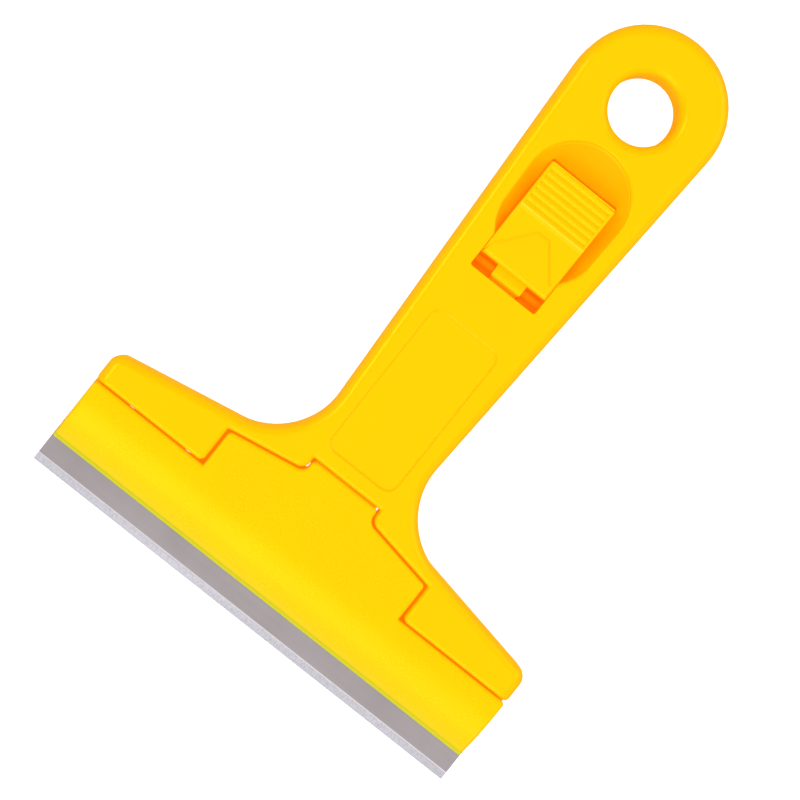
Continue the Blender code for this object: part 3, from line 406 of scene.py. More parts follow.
def jawCorners(gap, side, foot, step, fillet, plate):
    slopeTop = plan["stepLevel"] + plan["stepSlope"] * (plan["stepHalf"] - plan["neckPlateHalf"])
    return [
        (plan["stepHalf"] + side, plan["jawTop"] + gap, foot),
        (plan["stepHalf"] + side, plan["stepLevel"] + gap - plan["stepSlope"] * (side - gap), step),
        (plan["neckPlateHalf"] + gap, slopeTop + gap, fillet),
        (plan["neckPlateHalf"] + gap, plan["neckPlateLevel"] + gap, plate),
    ]


# Screws, five from the back

screw = {
    "places": {
        "wing_screw_left": (-0.0380, 0.0236), "wing_screw_right": (0.0380, 0.0236),
        "neck_screw_left": (-0.0072, 0.0460), "neck_screw_right": (0.0072, 0.0460),
        "end_screw": (0.0, 0.1366),
    },
    "headRadius": 0.0021, "headHeight": 0.0013, "headRound": 0.0005,
    "headSteps": 6, "shankRadius": 0.0011, "threadDepth": 0.00022, "threadPitch": 0.0007,
    "length": 0.0078, "tip": 0.0008, "tipShare": 0.35, "plainNeck": 0.0006, "runOut": 0.0002,
    "sink": 0.0004, "recessWidth": 0.0006, "recessLength": 0.0024, "recessDepth": 0.0008,
    "recessShare": 0.62, "recessEase": 0.00006, "room": 0.0003, "bossWall": 0.0012, "rimEase": 0.0002,
    "sides": 40,
}


def gripScrews():
    # the three screws outside the wings
    return [place for place in screw["places"].values() if abs(place[0]) < plan["stepHalf"]]


def screwHole(x, level):
    head = screw["headRadius"] + screw["room"]
    shank = screw["shankRadius"] + screw["room"]
    floor = screw["sink"] + screw["headHeight"] + screw["room"]
    tip = screw["sink"] + screw["length"] + screw["room"]
    ease = screw["rimEase"]
    profile = [(0, tip), (shank, tip), (shank, floor), (head, floor), (head, ease), (head + ease, 0),
               (head + ease, -overrun), (0, -overrun)]
    return spun("screwHole", profile, x, level, screw["sides"])


def screwProfile():
    # half of the screw's outline: tip, thread, plain neck and the head's rounded rim
    radius, top, pitch = screw["shankRadius"], screw["sink"] + screw["length"], screw["threadPitch"]
    root, neck = radius - screw["threadDepth"], screw["sink"] + screw["headHeight"]
    height = top - screw["tip"]
    profile = [(0, top), (radius * screw["tipShare"], top - hair), (root, height)]
    while height - pitch > neck + screw["plainNeck"]:
        profile += [(radius, height - pitch / 2), (root, height - pitch)]
        height -= pitch
    profile += [(radius - hair, height - screw["runOut"]), (radius - hair, neck), (screw["headRadius"], neck)]
    for step in range(screw["headSteps"] + 1):
        angle = math.pi / 2 * step / screw["headSteps"]
        profile.append((screw["headRadius"] - screw["headRound"] * (1 - math.cos(angle)),
                        screw["sink"] + screw["headRound"] * (1 - math.sin(angle))))
    return profile + [(0, screw["sink"])]


def makeScrew(name, node, x, level, material):
    piece = spun(name, screwProfile(), x, level, screw["sides"])
    half, thin = screw["recessLength"] / 2, screw["recessWidth"] / 2
    roof = screw["sink"] + screw["recessDepth"]
    for across, along in ((half, thin), (thin, half)):
        arm = block("recessArm", (x - across, level - along, -overrun / 2), (x + across, level + along, roof))
        taperEnds(arm, roof, x, level)
        carve(piece, arm, "recess")
    roundEdges(piece, markedEdges(piece, "recess", below(screw["sink"] + near)), screw["recessEase"], 2)
    finishPiece(piece, material, "handle", "screw_steel", node)


def taperEnds(arm, height, x, level):
    # the recess narrows towards its floor
    openMesh(arm, "DESELECT")
    closeMesh()
    for vertex in arm.data.vertices:
        vertex.select = vertex.co.z > height - near
    bpy.ops.object.mode_set(mode="EDIT")
    bpy.ops.transform.resize(value=(screw["recessShare"], screw["recessShare"], 1),
                             center_override=at(x, level, height))
    closeMesh()


# Front shell

frontShell = {
    "roomSide": 0.00060, "roomFoot": 0.0013, "roomStep": 0.0003, "roomFillet": 0.0021, "roomPlate": 0.0003,
    "seamRound": 0.0009,
    "throatHalf": 0.0079, "cavityLevel": 0.0404,
    "scoopFoot": (0.0050, 0.0840, 0.0044), "scoopShoulder": (0.01015, 0.0923),   # x, level, radius
    "scoopShoulderRound": 0.0090, "scoopTopHalf": 0.01085, "scoopTop": 0.1140,
    "scoopDepth": 0.0042, "scoopRim": 0.0005, "scoopWall": 0.0014, "scoopEase": 0.00070,
    "scoopMiddle": 0.0855, "scoopRings": 10, "scoopBend": 1.05, "scoopShrink": (0.74, 0.74),
    "windowHalf": 0.00782, "windowLow": 0.0810, "windowHigh": 0.1069, "windowCorner": 0.0005,
    "windowEase": 0.00012,
    "hinge": (0.0830, 0.0092), "pivot": (0.0375, 0.0074),   # level, height
    "earInner": 0.00353, "earOuter": 0.0085, "earRadius": 0.00088,
    "earRoot": 0.0020, "earRoundShare": 0.98, "hingeBore": 0.00065,
    "panelHalf": 0.0079, "panelLow": 0.0368, "panelHigh": 0.07105, "panelCorner": 0.0024,
    "panelDepth": 0.00040, "panelEase": 0.00010, "panelRings": 3, "panelBend": 1.4,
    "panelShrink": (0.952, 0.978),
    "holeRadius": 0.0069, "holeLevel": 0.1246, "holeRound": 0.0011, "holeFrontRound": 0.0019,
    "holeWall": 0.0022, "holeSteps": 10,
    "pinBore": 0.0012, "slotHalf": 0.0108,
}


def holeTool(low, high):
    # a spun plug whose ends flare out, so that the hole's rims come out rounded
    shell, radius = frontShell, frontShell["holeRadius"]
    lower, upper = shell["holeRound"], shell["holeFrontRound"]
    angles = [math.pi / 2 * step / shell["holeSteps"] for step in range(shell["holeSteps"] + 1)]
    profile = [(0, low - overrun), (radius + lower, low - overrun)]
    for angle in angles:
        profile.append((radius + lower * (1 - math.sin(angle)), low + lower * (1 - math.cos(angle))))
    for angle in angles:
        profile.append((radius + upper * (1 - math.cos(angle)), high - upper * (1 - math.sin(angle))))
    profile += [(radius + upper, high + overrun), (0, high + overrun)]
    return spun("holeTool", profile, 0, shell["holeLevel"])


def cavityCorners(throatLevel):
    throat, level, wall = frontShell["throatHalf"], frontShell["cavityLevel"], plan["sideWall"]
    start = (gripHalf(level) - wall, level)
    return bothSides([
        (throat, throatLevel, 0), (throat, level - (start[0] - throat), 0), (*start, plan["cavityCorner"]),
        roundEnd(start, gripHalf(plan["length"]) - wall, plan["length"] - wall),
    ])


def scoopCorners(grow=0.0):
    shell = frontShell
    foot, shoulder = shell["scoopFoot"], shell["scoopShoulder"]
    return bothSides([
        (foot[0] + grow, foot[1] - grow, foot[2] + grow),
        (shoulder[0] + grow, shoulder[1], shell["scoopShoulderRound"]),
        roundEnd((shoulder[0] + grow, shoulder[1]), shell["scoopTopHalf"] + grow, shell["scoopTop"] + grow),
    ])


def wingPockets(piece, low, high):
    # two hollows in each wing, on both sides of its screw
    boss = screw["shankRadius"] + screw["room"] + screw["bossWall"]
    wall = plan["sideWall"]
    floor = plan["jawTop"] + plan["seam"] + wall
    wingScrew = screw["places"]["wing_screw_right"][0]
    for start, stop in ((plan["stepHalf"] + plan["seam"] + wall, wingScrew - boss),
                        (wingScrew + boss, plan["headHalf"] - wall)):
        roofs = [plan["shoulderLevel"] - plan["shoulderSlope"] * (x - plan["shoulderX"]) - wall
                 for x in (start, stop)]
        bend = plan["pocketCorner"]
        right = [(start, floor, bend), (stop, floor, bend), (stop, roofs[1], bend), (start, roofs[0], bend)]
        left = [(-x, level, radius) for x, level, radius in reversed(right)]
        carve(piece, raisePlate("pocketTool", right, low, high, 6))
        carve(piece, raisePlate("pocketTool", left, low, high, 6))


def makeFrontShell(material):
    shell, front, low = frontShell, plan["front"], plan["frontLow"]
    piece = raisePlate("frontShell", handleCorners(), low, front, 16)
    roundEdges(piece, edgesWhere(piece, above(front - near)), plan["outerRound"], 10)
    halve(piece)
    ceiling = front - plan["frontWall"]
    carve(piece, raisePlate("cavityTool", cavityCorners(plan["neckPlateLevel"] - overrun),
                            low - overrun, ceiling))
    middle, length = (low + ceiling + overrun) / 2 + hair / 2, ceiling + overrun - low - hair
    fuse(piece, bar("boss", shell["holeRadius"] + shell["holeWall"], length, (0, shell["holeLevel"], middle)))
    wingPockets(piece, low - overrun, ceiling)
    bossRadius = screw["shankRadius"] + screw["room"] + screw["bossWall"]
    for x, level in gripScrews():
        fuse(piece, bar("screwBoss", bossRadius, length, (x, level, middle)))
    for x, level in screw["places"].values():
        carve(piece, screwHole(x, level))
    carvePanel(piece)
    carve(piece, holeTool(-hair, front), "hole")
    carveRoom(piece)
    carveScoop(piece)
    addEars(piece)
    easeFrontEdges(piece)
    finishPiece(piece, material, "handle", "handle_plastic", "handle_front_shell")


def carvePanel(piece):
    shell, front = frontShell, plan["front"]
    half, low, high, bend = shell["panelHalf"], shell["panelLow"], shell["panelHigh"], shell["panelCorner"]
    edge = shell["panelDepth"] / 4
    panel = raisePlate("panelTool", bothSides([(half, low, bend), (half, high, bend)]),
                       front - edge, front + overrun)
    sinkFloor(panel, shell["panelDepth"] - edge, shell["panelRings"], shell["panelBend"],
              shell["panelShrink"], (low + high) / 2)
    carve(piece, panel, "panel")


def carveRoom(piece):
    # the room in which the jaw lies
    shell, seam = frontShell, plan["seam"]
    reach, start = plan["headHalf"] + overrun * 3, plan["lipLevel"] - overrun * 3
    outline = bothSides([(reach, start, 0), (reach, plan["jawTop"] + seam, 0)]
                        + jawCorners(seam, shell["roomSide"], shell["roomFoot"], shell["roomStep"],
                                     shell["roomFillet"], shell["roomPlate"]))
    carve(piece, raisePlate("roomTool", outline, plan["frontLow"] - overrun, plan["front"] + overrun), "room")


def carveScoop(piece):
    shell, front = frontShell, plan["front"]
    fuse(piece, raisePlate("scoopWall", scoopCorners(shell["scoopWall"]),
                           front - shell["scoopDepth"] - shell["scoopWall"],
                           front - plan["frontWall"] + overrun))
    bowl = raisePlate("scoopTool", scoopCorners(), front - shell["scoopRim"], front + overrun, 16)
    sinkFloor(bowl, shell["scoopDepth"] - shell["scoopRim"], shell["scoopRings"], shell["scoopBend"],
              shell["scoopShrink"], shell["scoopMiddle"])
    carve(piece, bowl, "scoop")
    carve(piece, raisePlate("windowTool", bothSides([
        (shell["windowHalf"], shell["windowLow"], shell["windowCorner"]),
        (shell["windowHalf"], shell["windowHigh"], shell["windowCorner"]),
    ]), plan["frontLow"] - overrun, front + overrun), "window")


def sinkFloor(tool, depth, rings, bend, shrink, level):
    # the tool's floor is drawn in and sunk ring by ring, so that its sides slope
    floor = min(vertex.co.z for vertex in tool.data.vertices)
    openMesh(tool, "DESELECT")
    bpy.ops.mesh.select_mode(type="FACE")
    closeMesh()
    for face in tool.data.polygons:
        face.select = face.center.z < floor + near
    bpy.ops.object.mode_set(mode="EDIT")
    done, size = 0.0, (1.0, 1.0)
    for ring in range(1, rings + 1):
        share = ring / rings
        fall = depth * (1 - (1 - share) ** bend)
        wanted = [1 - (1 - part) * share for part in shrink]
        bpy.ops.mesh.extrude_region_move(TRANSFORM_OT_translate={"value": (0, 0, done - fall)})
        bpy.ops.transform.resize(value=(wanted[0] / size[0], wanted[1] / size[1], 1),
                                 center_override=at(0, level, 0))
        done, size = fall, wanted
    bpy.ops.mesh.select_mode(type="VERT")
    closeMesh(facesOut=True)


def easeFrontEdges(piece):
    shell, front = frontShell, plan["front"]
    onFront = above(front - near)
    inBowl = reaching(front - shell["scoopDepth"])
    roundEdges(piece, markedEdges(piece, "panel", onFront), shell["panelEase"], 3)
    roundEdges(piece, markedEdges(piece, "scoop", onFront), shell["scoopEase"], 4)
    roundEdges(piece, markedEdges(piece, "window", inBowl), shell["windowEase"], 2)
    seams = markedEdges(piece, "room", reaching(plan["frontLow"] + hair * 5))
    roundEdges(piece, seams, shell["seamRound"], 6)


def addEars(piece):
    shell = frontShell
    level, height, radius = *shell["hinge"], shell["earRadius"]
    root, bend = shell["windowLow"] - shell["earRoot"], radius * shell["earRoundShare"]
    for side in (1, -1):
        ends = sorted((shell["earInner"] * side, shell["earOuter"] * side))
        fuse(piece, raiseSide("ear", [
            (root, height - radius, 0), (level + radius, height - radius, bend),
            (level + radius, height + radius, bend), (level - radius, height + radius, bend),
            (level - radius, height - radius / 2, 0), (root, height - radius / 2, 0),
        ], *ends), "ear")
    length = (shell["earOuter"] + overrun) * 2
    carve(piece, bar("boreTool", shell["hingeBore"], length, (0, level, height), "X", 32))
    level, height = shell["pivot"]
    bore, low = shell["pinBore"], plan["frontLow"] - overrun
    carve(piece, raiseSide("slotTool", [
        (level - bore, low, 0), (level + bore, low, 0),
        (level + bore, height + bore, bore), (level - bore, height + bore, bore),
    ], -shell["slotHalf"], shell["slotHalf"]))


# Back shell

backShell = {
    "lipThickness": 0.0015, "slopeEnd": 0.0145, "slopeEase": 0.0016, "lipEase": 0.0004, "seatEase": 0.00015,
    "cavityLevel": 0.0346, "postRadius": 0.0016, "postTop": 0.0038, "springLevel": 0.0560,
    "keeperHalf": 0.0009, "keeperInner": 0.0082, "keeperOuter": 0.0106, "keeperTop": 0.0061,
    "pegRadius": 0.00265, "pegLevel": 0.0150, "pegX": 0.0300, "pegTop": 0.0054,
    "postEase": 0.0003, "pegEase": 0.0002, "flat": 0.0003,
    "vents": ((-0.0413, 0.0190, 0.0005), (-0.0276, 0.0190, 0.0005),   # x, level and half width
              (-0.0080, 0.0317, 0.0006), (0.0079, 0.0332, 0.0004)),
}


def easedPost(name, low, radius, height, ease, x, level, sides):
    # a round post with an eased top
    profile = [(0, low), (radius, low), (radius, height - ease), (radius - ease, height), (0, height)]
    return spun(name, profile, x, level, sides)


def makeBackShell(material):
    shell, seat, wall = backShell, plan["seat"], plan["backWall"]
    piece = raisePlate("backShell", handleCorners(), 0, seat, 16)
    roundEdges(piece, edgesWhere(piece, below(near)), plan["backRound"], 8)
    halve(piece)
    carve(piece, slopeTool(), "slope")
    carve(piece, raisePlate("backCavityTool", cavityCorners(shell["cavityLevel"]), wall, seat + overrun))
    wingPockets(piece, wall, seat + overrun)
    low, top = wall - overrun, seat - hair
    middle = (low + top) / 2
    fuse(piece, bar("holeBoss", frontShell["holeRadius"] + frontShell["holeWall"], top - low,
                    (0, frontShell["holeLevel"], middle)))
    seatRadius = screw["headRadius"] + screw["room"] + screw["bossWall"]
    for x, level in gripScrews():
        fuse(piece, bar("screwSeat", seatRadius, top - low, (x, level, middle)))
    fuse(piece, easedPost("springPost", low, shell["postRadius"], shell["postTop"], shell["postEase"],
                          0, shell["springLevel"], 40))
    carve(piece, holeTool(0, plan["front"]), "hole")
    for x, level in screw["places"].values():
        carve(piece, screwHole(x, level), "screw")
    half, level = shell["keeperHalf"], frontShell["pivot"][0]
    inner, outer = shell["keeperInner"], shell["keeperOuter"]
    for start, stop in ((inner, outer), (-outer, -inner)):
        fuse(piece, block("keeper", (start, level - half, seat - overrun),
                          (stop, level + half, shell["keeperTop"])))
    for x in (shell["pegX"], -shell["pegX"]):
        fuse(piece, easedPost("bladePeg", seat - overrun, shell["pegRadius"], shell["pegTop"],
                              shell["pegEase"], x, shell["pegLevel"], 48))
    for x, level, half in shell["vents"]:
        carve(piece, block("ventTool", (x - half, level - half, -overrun),
                           (x + half, level + half, seat + overrun)), "vent")
    easeBackEdges(piece)
    finishPiece(piece, material, "handle", "handle_plastic", "handle_back_shell")


def slopeTool():
    # takes the underside away in a slope, which leaves a thin lip in front
    rise = plan["seat"] - backShell["lipThickness"]
    slope = rise / (backShell["slopeEnd"] - plan["lipLevel"])
    ahead, reach = plan["lipLevel"] - overrun, plan["headHalf"] + overrun
    return raiseSide("slopeTool", [
        (ahead, -overrun, 0), (backShell["slopeEnd"] + overrun / slope, -overrun, 0),
        (ahead, rise + overrun * slope, 0),
    ], -reach, reach)


def easeBackEdges(piece):
    shell, start = backShell, edgeY + plan["lipLevel"] + hair
    roundEdges(piece, markedEdges(piece, "slope", below(shell["flat"])), shell["slopeEase"], 5)
    foot = plan["seat"] - shell["lipThickness"]
    lip = edgesWhere(piece, lambda one, two: max(abs(one.z - foot), abs(two.z - foot)) < near
                     and max(one.y, two.y) < start)
    roundEdges(piece, lip, shell["lipEase"], 4)
    roundEdges(piece, markedEdges(piece, "vent", below(near)), shell["seatEase"], 2)


# Clamp jaw

def jawProfile():
    # seen from the side: a flat top that bends down in an arc to the thin lip
    front, low = plan["front"], jaw["low"]
    run, drop = jaw["slopeTop"] - plan["lipLevel"], front - low - jaw["lipThickness"]
    bend = (run ** 2 + drop ** 2) / (2 * drop)
    arc = []
    for step in range(jaw["slopeSteps"]):
        angle = math.asin(run / bend) * step / jaw["slopeSteps"]
        arc.append((jaw["slopeTop"] - bend * math.sin(angle), front - bend * (1 - math.cos(angle)), 0))
    end = plan["neckPlateLevel"] + overrun
    return [(end, low, 0), (end, front, 0), *arc,
            (plan["lipLevel"], low + jaw["lipThickness"], jaw["lipRound"]),
            (plan["lipLevel"], low, jaw["lipRound"] / 3)]


def makeClampJaw(material):
    half = jaw["half"]
    piece = raiseSide("clampJaw", jawProfile(), -half - overrun, half + overrun)
    upper = jawCorners(0, 0, jaw["footCorner"], jaw["stepCorner"], jaw["plateFillet"], jaw["plateCorner"])
    outline = bothSides([(half, plan["lipLevel"] - hair, jaw["lipCorner"]),
                         (half, plan["jawTop"], jaw["backCorner"])] + upper)
    combine(piece, raisePlate("jawShape", outline, jaw["low"] - overrun, plan["front"] + overrun, 10),
            "INTERSECT", "side")
    hollowJaw(piece)
    addTail(piece)
    easeJawEdges(piece)
    finishPiece(piece, material, "jaw", "jaw_plastic", "clamp_jaw")


def repeated(piece, count, step):
    row = piece.modifiers.new("row", "ARRAY")
    row.count = count
    row.use_relative_offset = False
    row.use_constant_offset = True
    row.constant_offset_displace = (step, 0, 0)
    applyAll(piece)
    return piece


def hollowJaw(piece):
    # two rows of hollows, seen only from behind
    low, wall, top = jaw["low"] - overrun, jaw["coreWall"], plan["jawTop"]
    span = (jaw["half"] - wall) * 2 / jaw["coreCount"]
    start = wall - jaw["half"]
    core = block("coreTool", (start, (plan["lipLevel"] + top) / 2, low),
                 (start + span - wall, top - wall, (jaw["low"] + plan["front"]) / 2))
    carve(piece, repeated(core, jaw["coreCount"], span))
    reach = plan["stepHalf"] - wall
    width = (reach * 2 + wall) / jaw["upperCoreCount"]
    core = block("upperCoreTool", (-reach, top + wall / 2, low),
                 (width - wall - reach, plan["stepLevel"] - wall, plan["front"] - plan["frontWall"]))
    carve(piece, repeated(core, jaw["upperCoreCount"], width))


def addTail(piece):
    level, height = frontShell["pivot"]
    barrel, under = jaw["barrel"], jaw["low"] + jaw["tongueLift"]
    tongue = raiseSide("tongue", [
        (plan["stepLevel"], under, 0), (level, under, 0), (level, height - barrel, 0),
        (level + barrel, height - barrel, barrel), (level + barrel, height + barrel, barrel),
        (plan["stepLevel"], height + barrel, 0),
    ], -jaw["tongueHalf"], jaw["tongueHalf"])
    fuse(piece, tongue)
    start, end = jaw["pusher"]
    tailLow, tailHigh, bend = jaw["tailLow"], jaw["tailHigh"], jaw["pusherRound"]
    fuse(piece, raiseSide("tail", [
        (level, tailLow, 0), (end, tailLow, bend), (end, jaw["pusherTop"], bend),
        (start, jaw["pusherTop"], bend), (start, tailHigh, bend), (level, tailHigh, 0),
    ], -jaw["tailHalf"], jaw["tailHalf"]))
    centre = backShell["springLevel"]
    cupHeight = jaw["cupTop"] - tailLow
    fuse(piece, bar("cup", jaw["cupBore"] + jaw["cupWall"], cupHeight, (0, centre, tailLow + cupHeight / 2)))
    boreHeight = cupHeight - jaw["cupRoof"] + overrun
    carve(piece, bar("cupBore", jaw["cupBore"], boreHeight, (0, centre, tailLow - overrun + boreHeight / 2)))
    carve(piece, bar("pivotBore", frontShell["pinBore"], (jaw["tongueHalf"] + overrun) * 2,
                     (0, level, height), "X", 32))


def easeJawEdges(piece):
    # the upper edges all round, apart from those at the lip
    flat, lip = plan["front"] - near, edgeY + plan["lipLevel"] + jaw["lipCorner"]
    under, slopeEnd = jaw["low"] + jaw["tongueLift"], edgeY + jaw["slopeTop"] + near
    rim = markedEdges(piece, "side", lambda one, two: min(one.y, two.y) > lip
                      and min(one.z, two.z) > under
                      and (min(one.z, two.z) > flat or max(one.y, two.y) < slopeEnd))
    roundEdges(piece, rim, jaw["seamRound"], 6)


# Press tab

tab = {
    "half": 0.0077, "low": 0.08434, "high": 0.1062, "corner": 0.0006, "footCorner": 0.0003, "bottom": 0.0100,
    "footRound": 0.0010, "sideRound": 0.00025,
    "padStart": 0.09575, "padHeight": 0.0007, "padFoot": 0.0949, "ridges": 7, "ridgeHeight": 0.00036,
    "ridgeHalf": 0.0071, "ridgeSteps": 8, "lineDepth": 0.00030,
    "arrowTop": (0.00145, 0.0940), "arrowEnd": (0.0069, 0.0872), "arrowWidth": 0.00050,
    "arrowShares": (0.4, 1.3), "rampKnee": (0.0009, 0.00034, 0.0006), "rampTop": (0.0013, 0.0007),
    "rampEnd": 0.0022, "padSink": 0.0005,
    "skirtWall": 0.0010, "skirtLow": 0.0082, "skirtStart": 0.0862,
    "knuckleHalf": 0.00345, "knuckleReach": 0.0014, "knuckleRound": 0.0012, "knucklePlanRound": 0.0007,
    "knuckleTop": 0.0004, "knuckleValley": 0.0015, "knuckleRoot": 0.0020, "knuckleStep": 0.0005,
}


def makePressTab(material):
    front, half = plan["front"], tab["half"]
    outline = bothSides([(half, tab["low"], tab["footCorner"]), (half, tab["high"], tab["corner"])])
    piece = raisePlate("pressTab", outline, tab["bottom"], front, 8)
    carve(piece, arrowTool(), "line")
    pad = raisePlate("pad", bothSides([(half, tab["padFoot"], 0.0), (half, tab["high"], tab["corner"])]),
                     front - tab["padSink"], front + tab["padHeight"], 8)
    carve(pad, padSlope())
    fuse(piece, pad, "pad")
    carve(piece, ridgeTool(), "groove")
    inner, top = half - tab["skirtWall"], tab["bottom"] + tab["skirtWall"] / 2
    for start, stop, begin in ((inner, half, tab["skirtStart"]), (-half, -inner, tab["skirtStart"]),
                               (-half, half, tab["high"] - tab["skirtWall"])):
        fuse(piece, block("skirt", (start, begin, tab["skirtLow"]), (stop, tab["high"], top)))
    addKnuckle(piece)
    easeTabEdges(piece)
    finishPiece(piece, material, "tab", "tab_plastic", "press_tab")


def padSlope():
    # the pad rises from the tab in an easy ramp that steepens
    foot, front, top = tab["padFoot"], plan["front"], plan["front"] + tab["padHeight"]
    knee, crest, reach = tab["rampKnee"], tab["rampTop"], tab["half"] + overrun
    return raiseSide("padSlope", [
        (foot - overrun, front - hair, 0), (foot, front - hair, 0),
        (foot + knee[0], front + knee[1], knee[2]), (foot + crest[0], top, crest[1]),
        (foot + tab["rampEnd"], top + hair, 0), (foot + tab["rampEnd"], top + overrun, 0),
        (foot - overrun, top + overrun, 0),
    ], -reach, reach, 6)


def arrowTool():
    # a thin engraved roof shape, open at the bottom
    (topX, topLevel), (endX, endLevel), width = tab["arrowTop"], tab["arrowEnd"], tab["arrowWidth"]
    innerTop, innerEnd = topX - width * tab["arrowShares"][0], endX - width * tab["arrowShares"][1]
    corners = [(-endX, endLevel), (-topX, topLevel), (topX, topLevel), (endX, endLevel),
               (innerEnd, endLevel), (innerTop, topLevel - width), (-innerTop, topLevel - width),
               (-innerEnd, endLevel)]
    return raisePlate("arrowTool", [(x, level, 0) for x, level in reversed(corners)],
                      plan["front"] - tab["lineDepth"], plan["front"] + overrun)


def ridgeTool():
    # leaves a row of rounded ridges, which run out before the tab's sides
    top = plan["front"] + tab["padHeight"]
    pitch = (tab["high"] - tab["padStart"]) / tab["ridges"]
    floor = top - tab["ridgeHeight"]
    corners = []
    for ridge in range(tab["ridges"]):
        for step in range(tab["ridgeSteps"]):
            share = step / tab["ridgeSteps"]
            if (ridge == 0 and share < 0.5) or (ridge == tab["ridges"] - 1 and share > 0.5):
                share = 0.5   # the outer ridges are flush with the pad's ends
            height = floor + tab["ridgeHeight"] * math.sin(math.pi * share)
            if share != 0.5 or step == tab["ridgeSteps"] // 2:
                corners.append((tab["padStart"] + pitch * (ridge + share), height, 0))
    first, last = corners[0][0], corners[-1][0]
    corners += [(last, top + overrun, 0), (first, top + overrun, 0)]
    return raiseSide("ridgeTool", corners, -tab["ridgeHalf"], tab["ridgeHalf"])


def addKnuckle(piece):
    level, height = frontShell["hinge"]
    reach, bend, half = tab["knuckleReach"], tab["knuckleRound"], tab["knuckleHalf"]
    top, valley = plan["front"] - tab["knuckleTop"], plan["front"] - tab["knuckleValley"]
    root, step = tab["low"] + tab["knuckleRoot"], tab["knuckleStep"]
    knuckle = raiseSide("knuckle", [
        (level - reach, height - reach, bend), (level + reach, height - reach, bend),
        (root, tab["bottom"], 0), (root, tab["bottom"] + step, 0), (tab["low"] + step, valley, 0),
        (level - reach, top, bend),
    ], -half, half)
    outline = bothSides([(half, level - reach, tab["knucklePlanRound"]), (half, root + overrun, 0)])
    combine(knuckle, raisePlate("knuckleShape", outline, height - overrun * 3, top + overrun), "INTERSECT")
    fuse(piece, knuckle, "knuckle")
    carve(piece, bar("knuckleBore", frontShell["hingeBore"], (half + overrun) * 2,
                     (0, level, height), "X", 32))


def easeTabEdges(piece):
    front, half, top = plan["front"], tab["half"], plan["front"] + tab["padHeight"]
    start, end = edgeY + tab["low"], edgeY + tab["high"]
    foot = edgesWhere(piece, lambda one, two: min(one.z, two.z) > front - near
                      and max(one.z, two.z) < front + near and max(one.y, two.y) < start + near)
    roundEdges(piece, foot, tab["footRound"], 5)
    sides = edgesWhere(piece, lambda one, two: min(one.z, two.z) > front - near * 5
                       and min(abs(one.x), abs(two.x)) > half - near and one.x * two.x > 0)
    ends = edgesWhere(piece, lambda one, two: min(one.z, two.z) > top - near
                      and min(one.y, two.y) > end - near)
    roundEdges(piece, sides + ends, tab["sideRound"], 4)


# Blade

blade = {
    "half": 0.0500, "height": 0.0190, "low": 0.0048, "high": 0.0054, "bevel": 0.0015, "bevelRound": 0.00016,
    "notchX": 0.0300, "notchRadius": 0.0030, "notchDepth": 0.0070, "notchRoundShare": 0.999,
}


def makeBlade(material):
    low, high, end, half = blade["low"], blade["high"], blade["height"], blade["half"]
    piece = raiseSide("scraperBlade", [
        (0, (low + high) / 2, 0), (blade["bevel"], low, blade["bevelRound"]), (end, low, 0),
        (end, high, 0), (blade["bevel"], high, blade["bevelRound"]),
    ], -half, half, 4)
    radius, level = blade["notchRadius"], end - blade["notchDepth"]
    bend = radius * blade["notchRoundShare"]
    for x in (blade["notchX"], -blade["notchX"]):
        carve(piece, raisePlate("notchTool", [
            (x - radius, level, bend), (x + radius, level, bend),
            (x + radius, end + overrun, 0), (x - radius, end + overrun, 0),
        ], low - overrun, high + overrun))
    finishPiece(piece, material, "cutter", "blade_steel", "blade")


# Pins and spring

pins = {
    "pivotRadius": 0.0010, "pivotLength": 0.0212, "hingeRadius": 0.0006, "hingeLength": 0.0154,
    "chamfer": 0.00018,
}

spring = {
    "radius": 0.00235, "wire": 0.000275, "low": 0.002275, "high": 0.007725, "curls": 4.5, "points": 40,
    "closed": 0.75, "layShare": 2.15, "keep": 0.88,
}


def makePin(name, node, radius, length, middle, material):
    piece = bar(name, radius, length, middle, "X", 48)
    ends = edgesWhere(piece, lambda one, two: abs(one.x - two.x) < near / 10)
    roundEdges(piece, ends, pins["chamfer"], 3)
    finishPiece(piece, material, "handle", "pin_steel", node)


def makeSpring(material):
    # a coil whose end turns lie closed, drawn as a line of points that becomes a wire
    count = round(spring["curls"] * spring["points"])
    piece = pointRing("clampSpring", count + 1)
    middle = at(0, backShell["springLevel"], 0)
    closed, lay, radius = spring["closed"], spring["wire"] * spring["layShare"], spring["radius"]
    loose = spring["curls"] - 2 * closed
    free = spring["high"] - spring["low"] - 2 * closed * lay
    for index, vertex in enumerate(piece.data.vertices):
        turns = index / spring["points"]
        into = min(max(turns - closed, 0), loose)
        ends = min(turns, closed) + max(turns - spring["curls"] + closed, 0)
        angle = math.tau * turns
        vertex.co = middle + Vector((radius * math.cos(angle), radius * math.sin(angle),
                                     spring["low"] + ends * lay + into / loose * free))
    for edge in piece.data.edges:
        edge.select = set(edge.vertices) == {0, count}
    for vertex in piece.data.vertices:
        vertex.select = False
    makeActive(piece)
    bpy.ops.object.mode_set(mode="EDIT")
    bpy.ops.mesh.select_mode(type="EDGE")
    bpy.ops.mesh.delete(type="EDGE_FACE")
    bpy.ops.mesh.select_mode(type="VERT")
    closeMesh()
    settle(piece)
    bpy.ops.object.convert(target="CURVE")
    wireCurve = bpy.context.object.data
    wireCurve.bevel_depth = spring["wire"]
    wireCurve.bevel_resolution = 3
    wireCurve.use_fill_caps = True
    bpy.ops.object.convert(target="MESH")
    piece = bpy.context.object
    finishPiece(piece, material, "handle", "spring_steel", "clamp_spring")
    tuple(at(0, backShell["springLevel"], plan["backWall"]))
    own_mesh(piece)


# Finishes

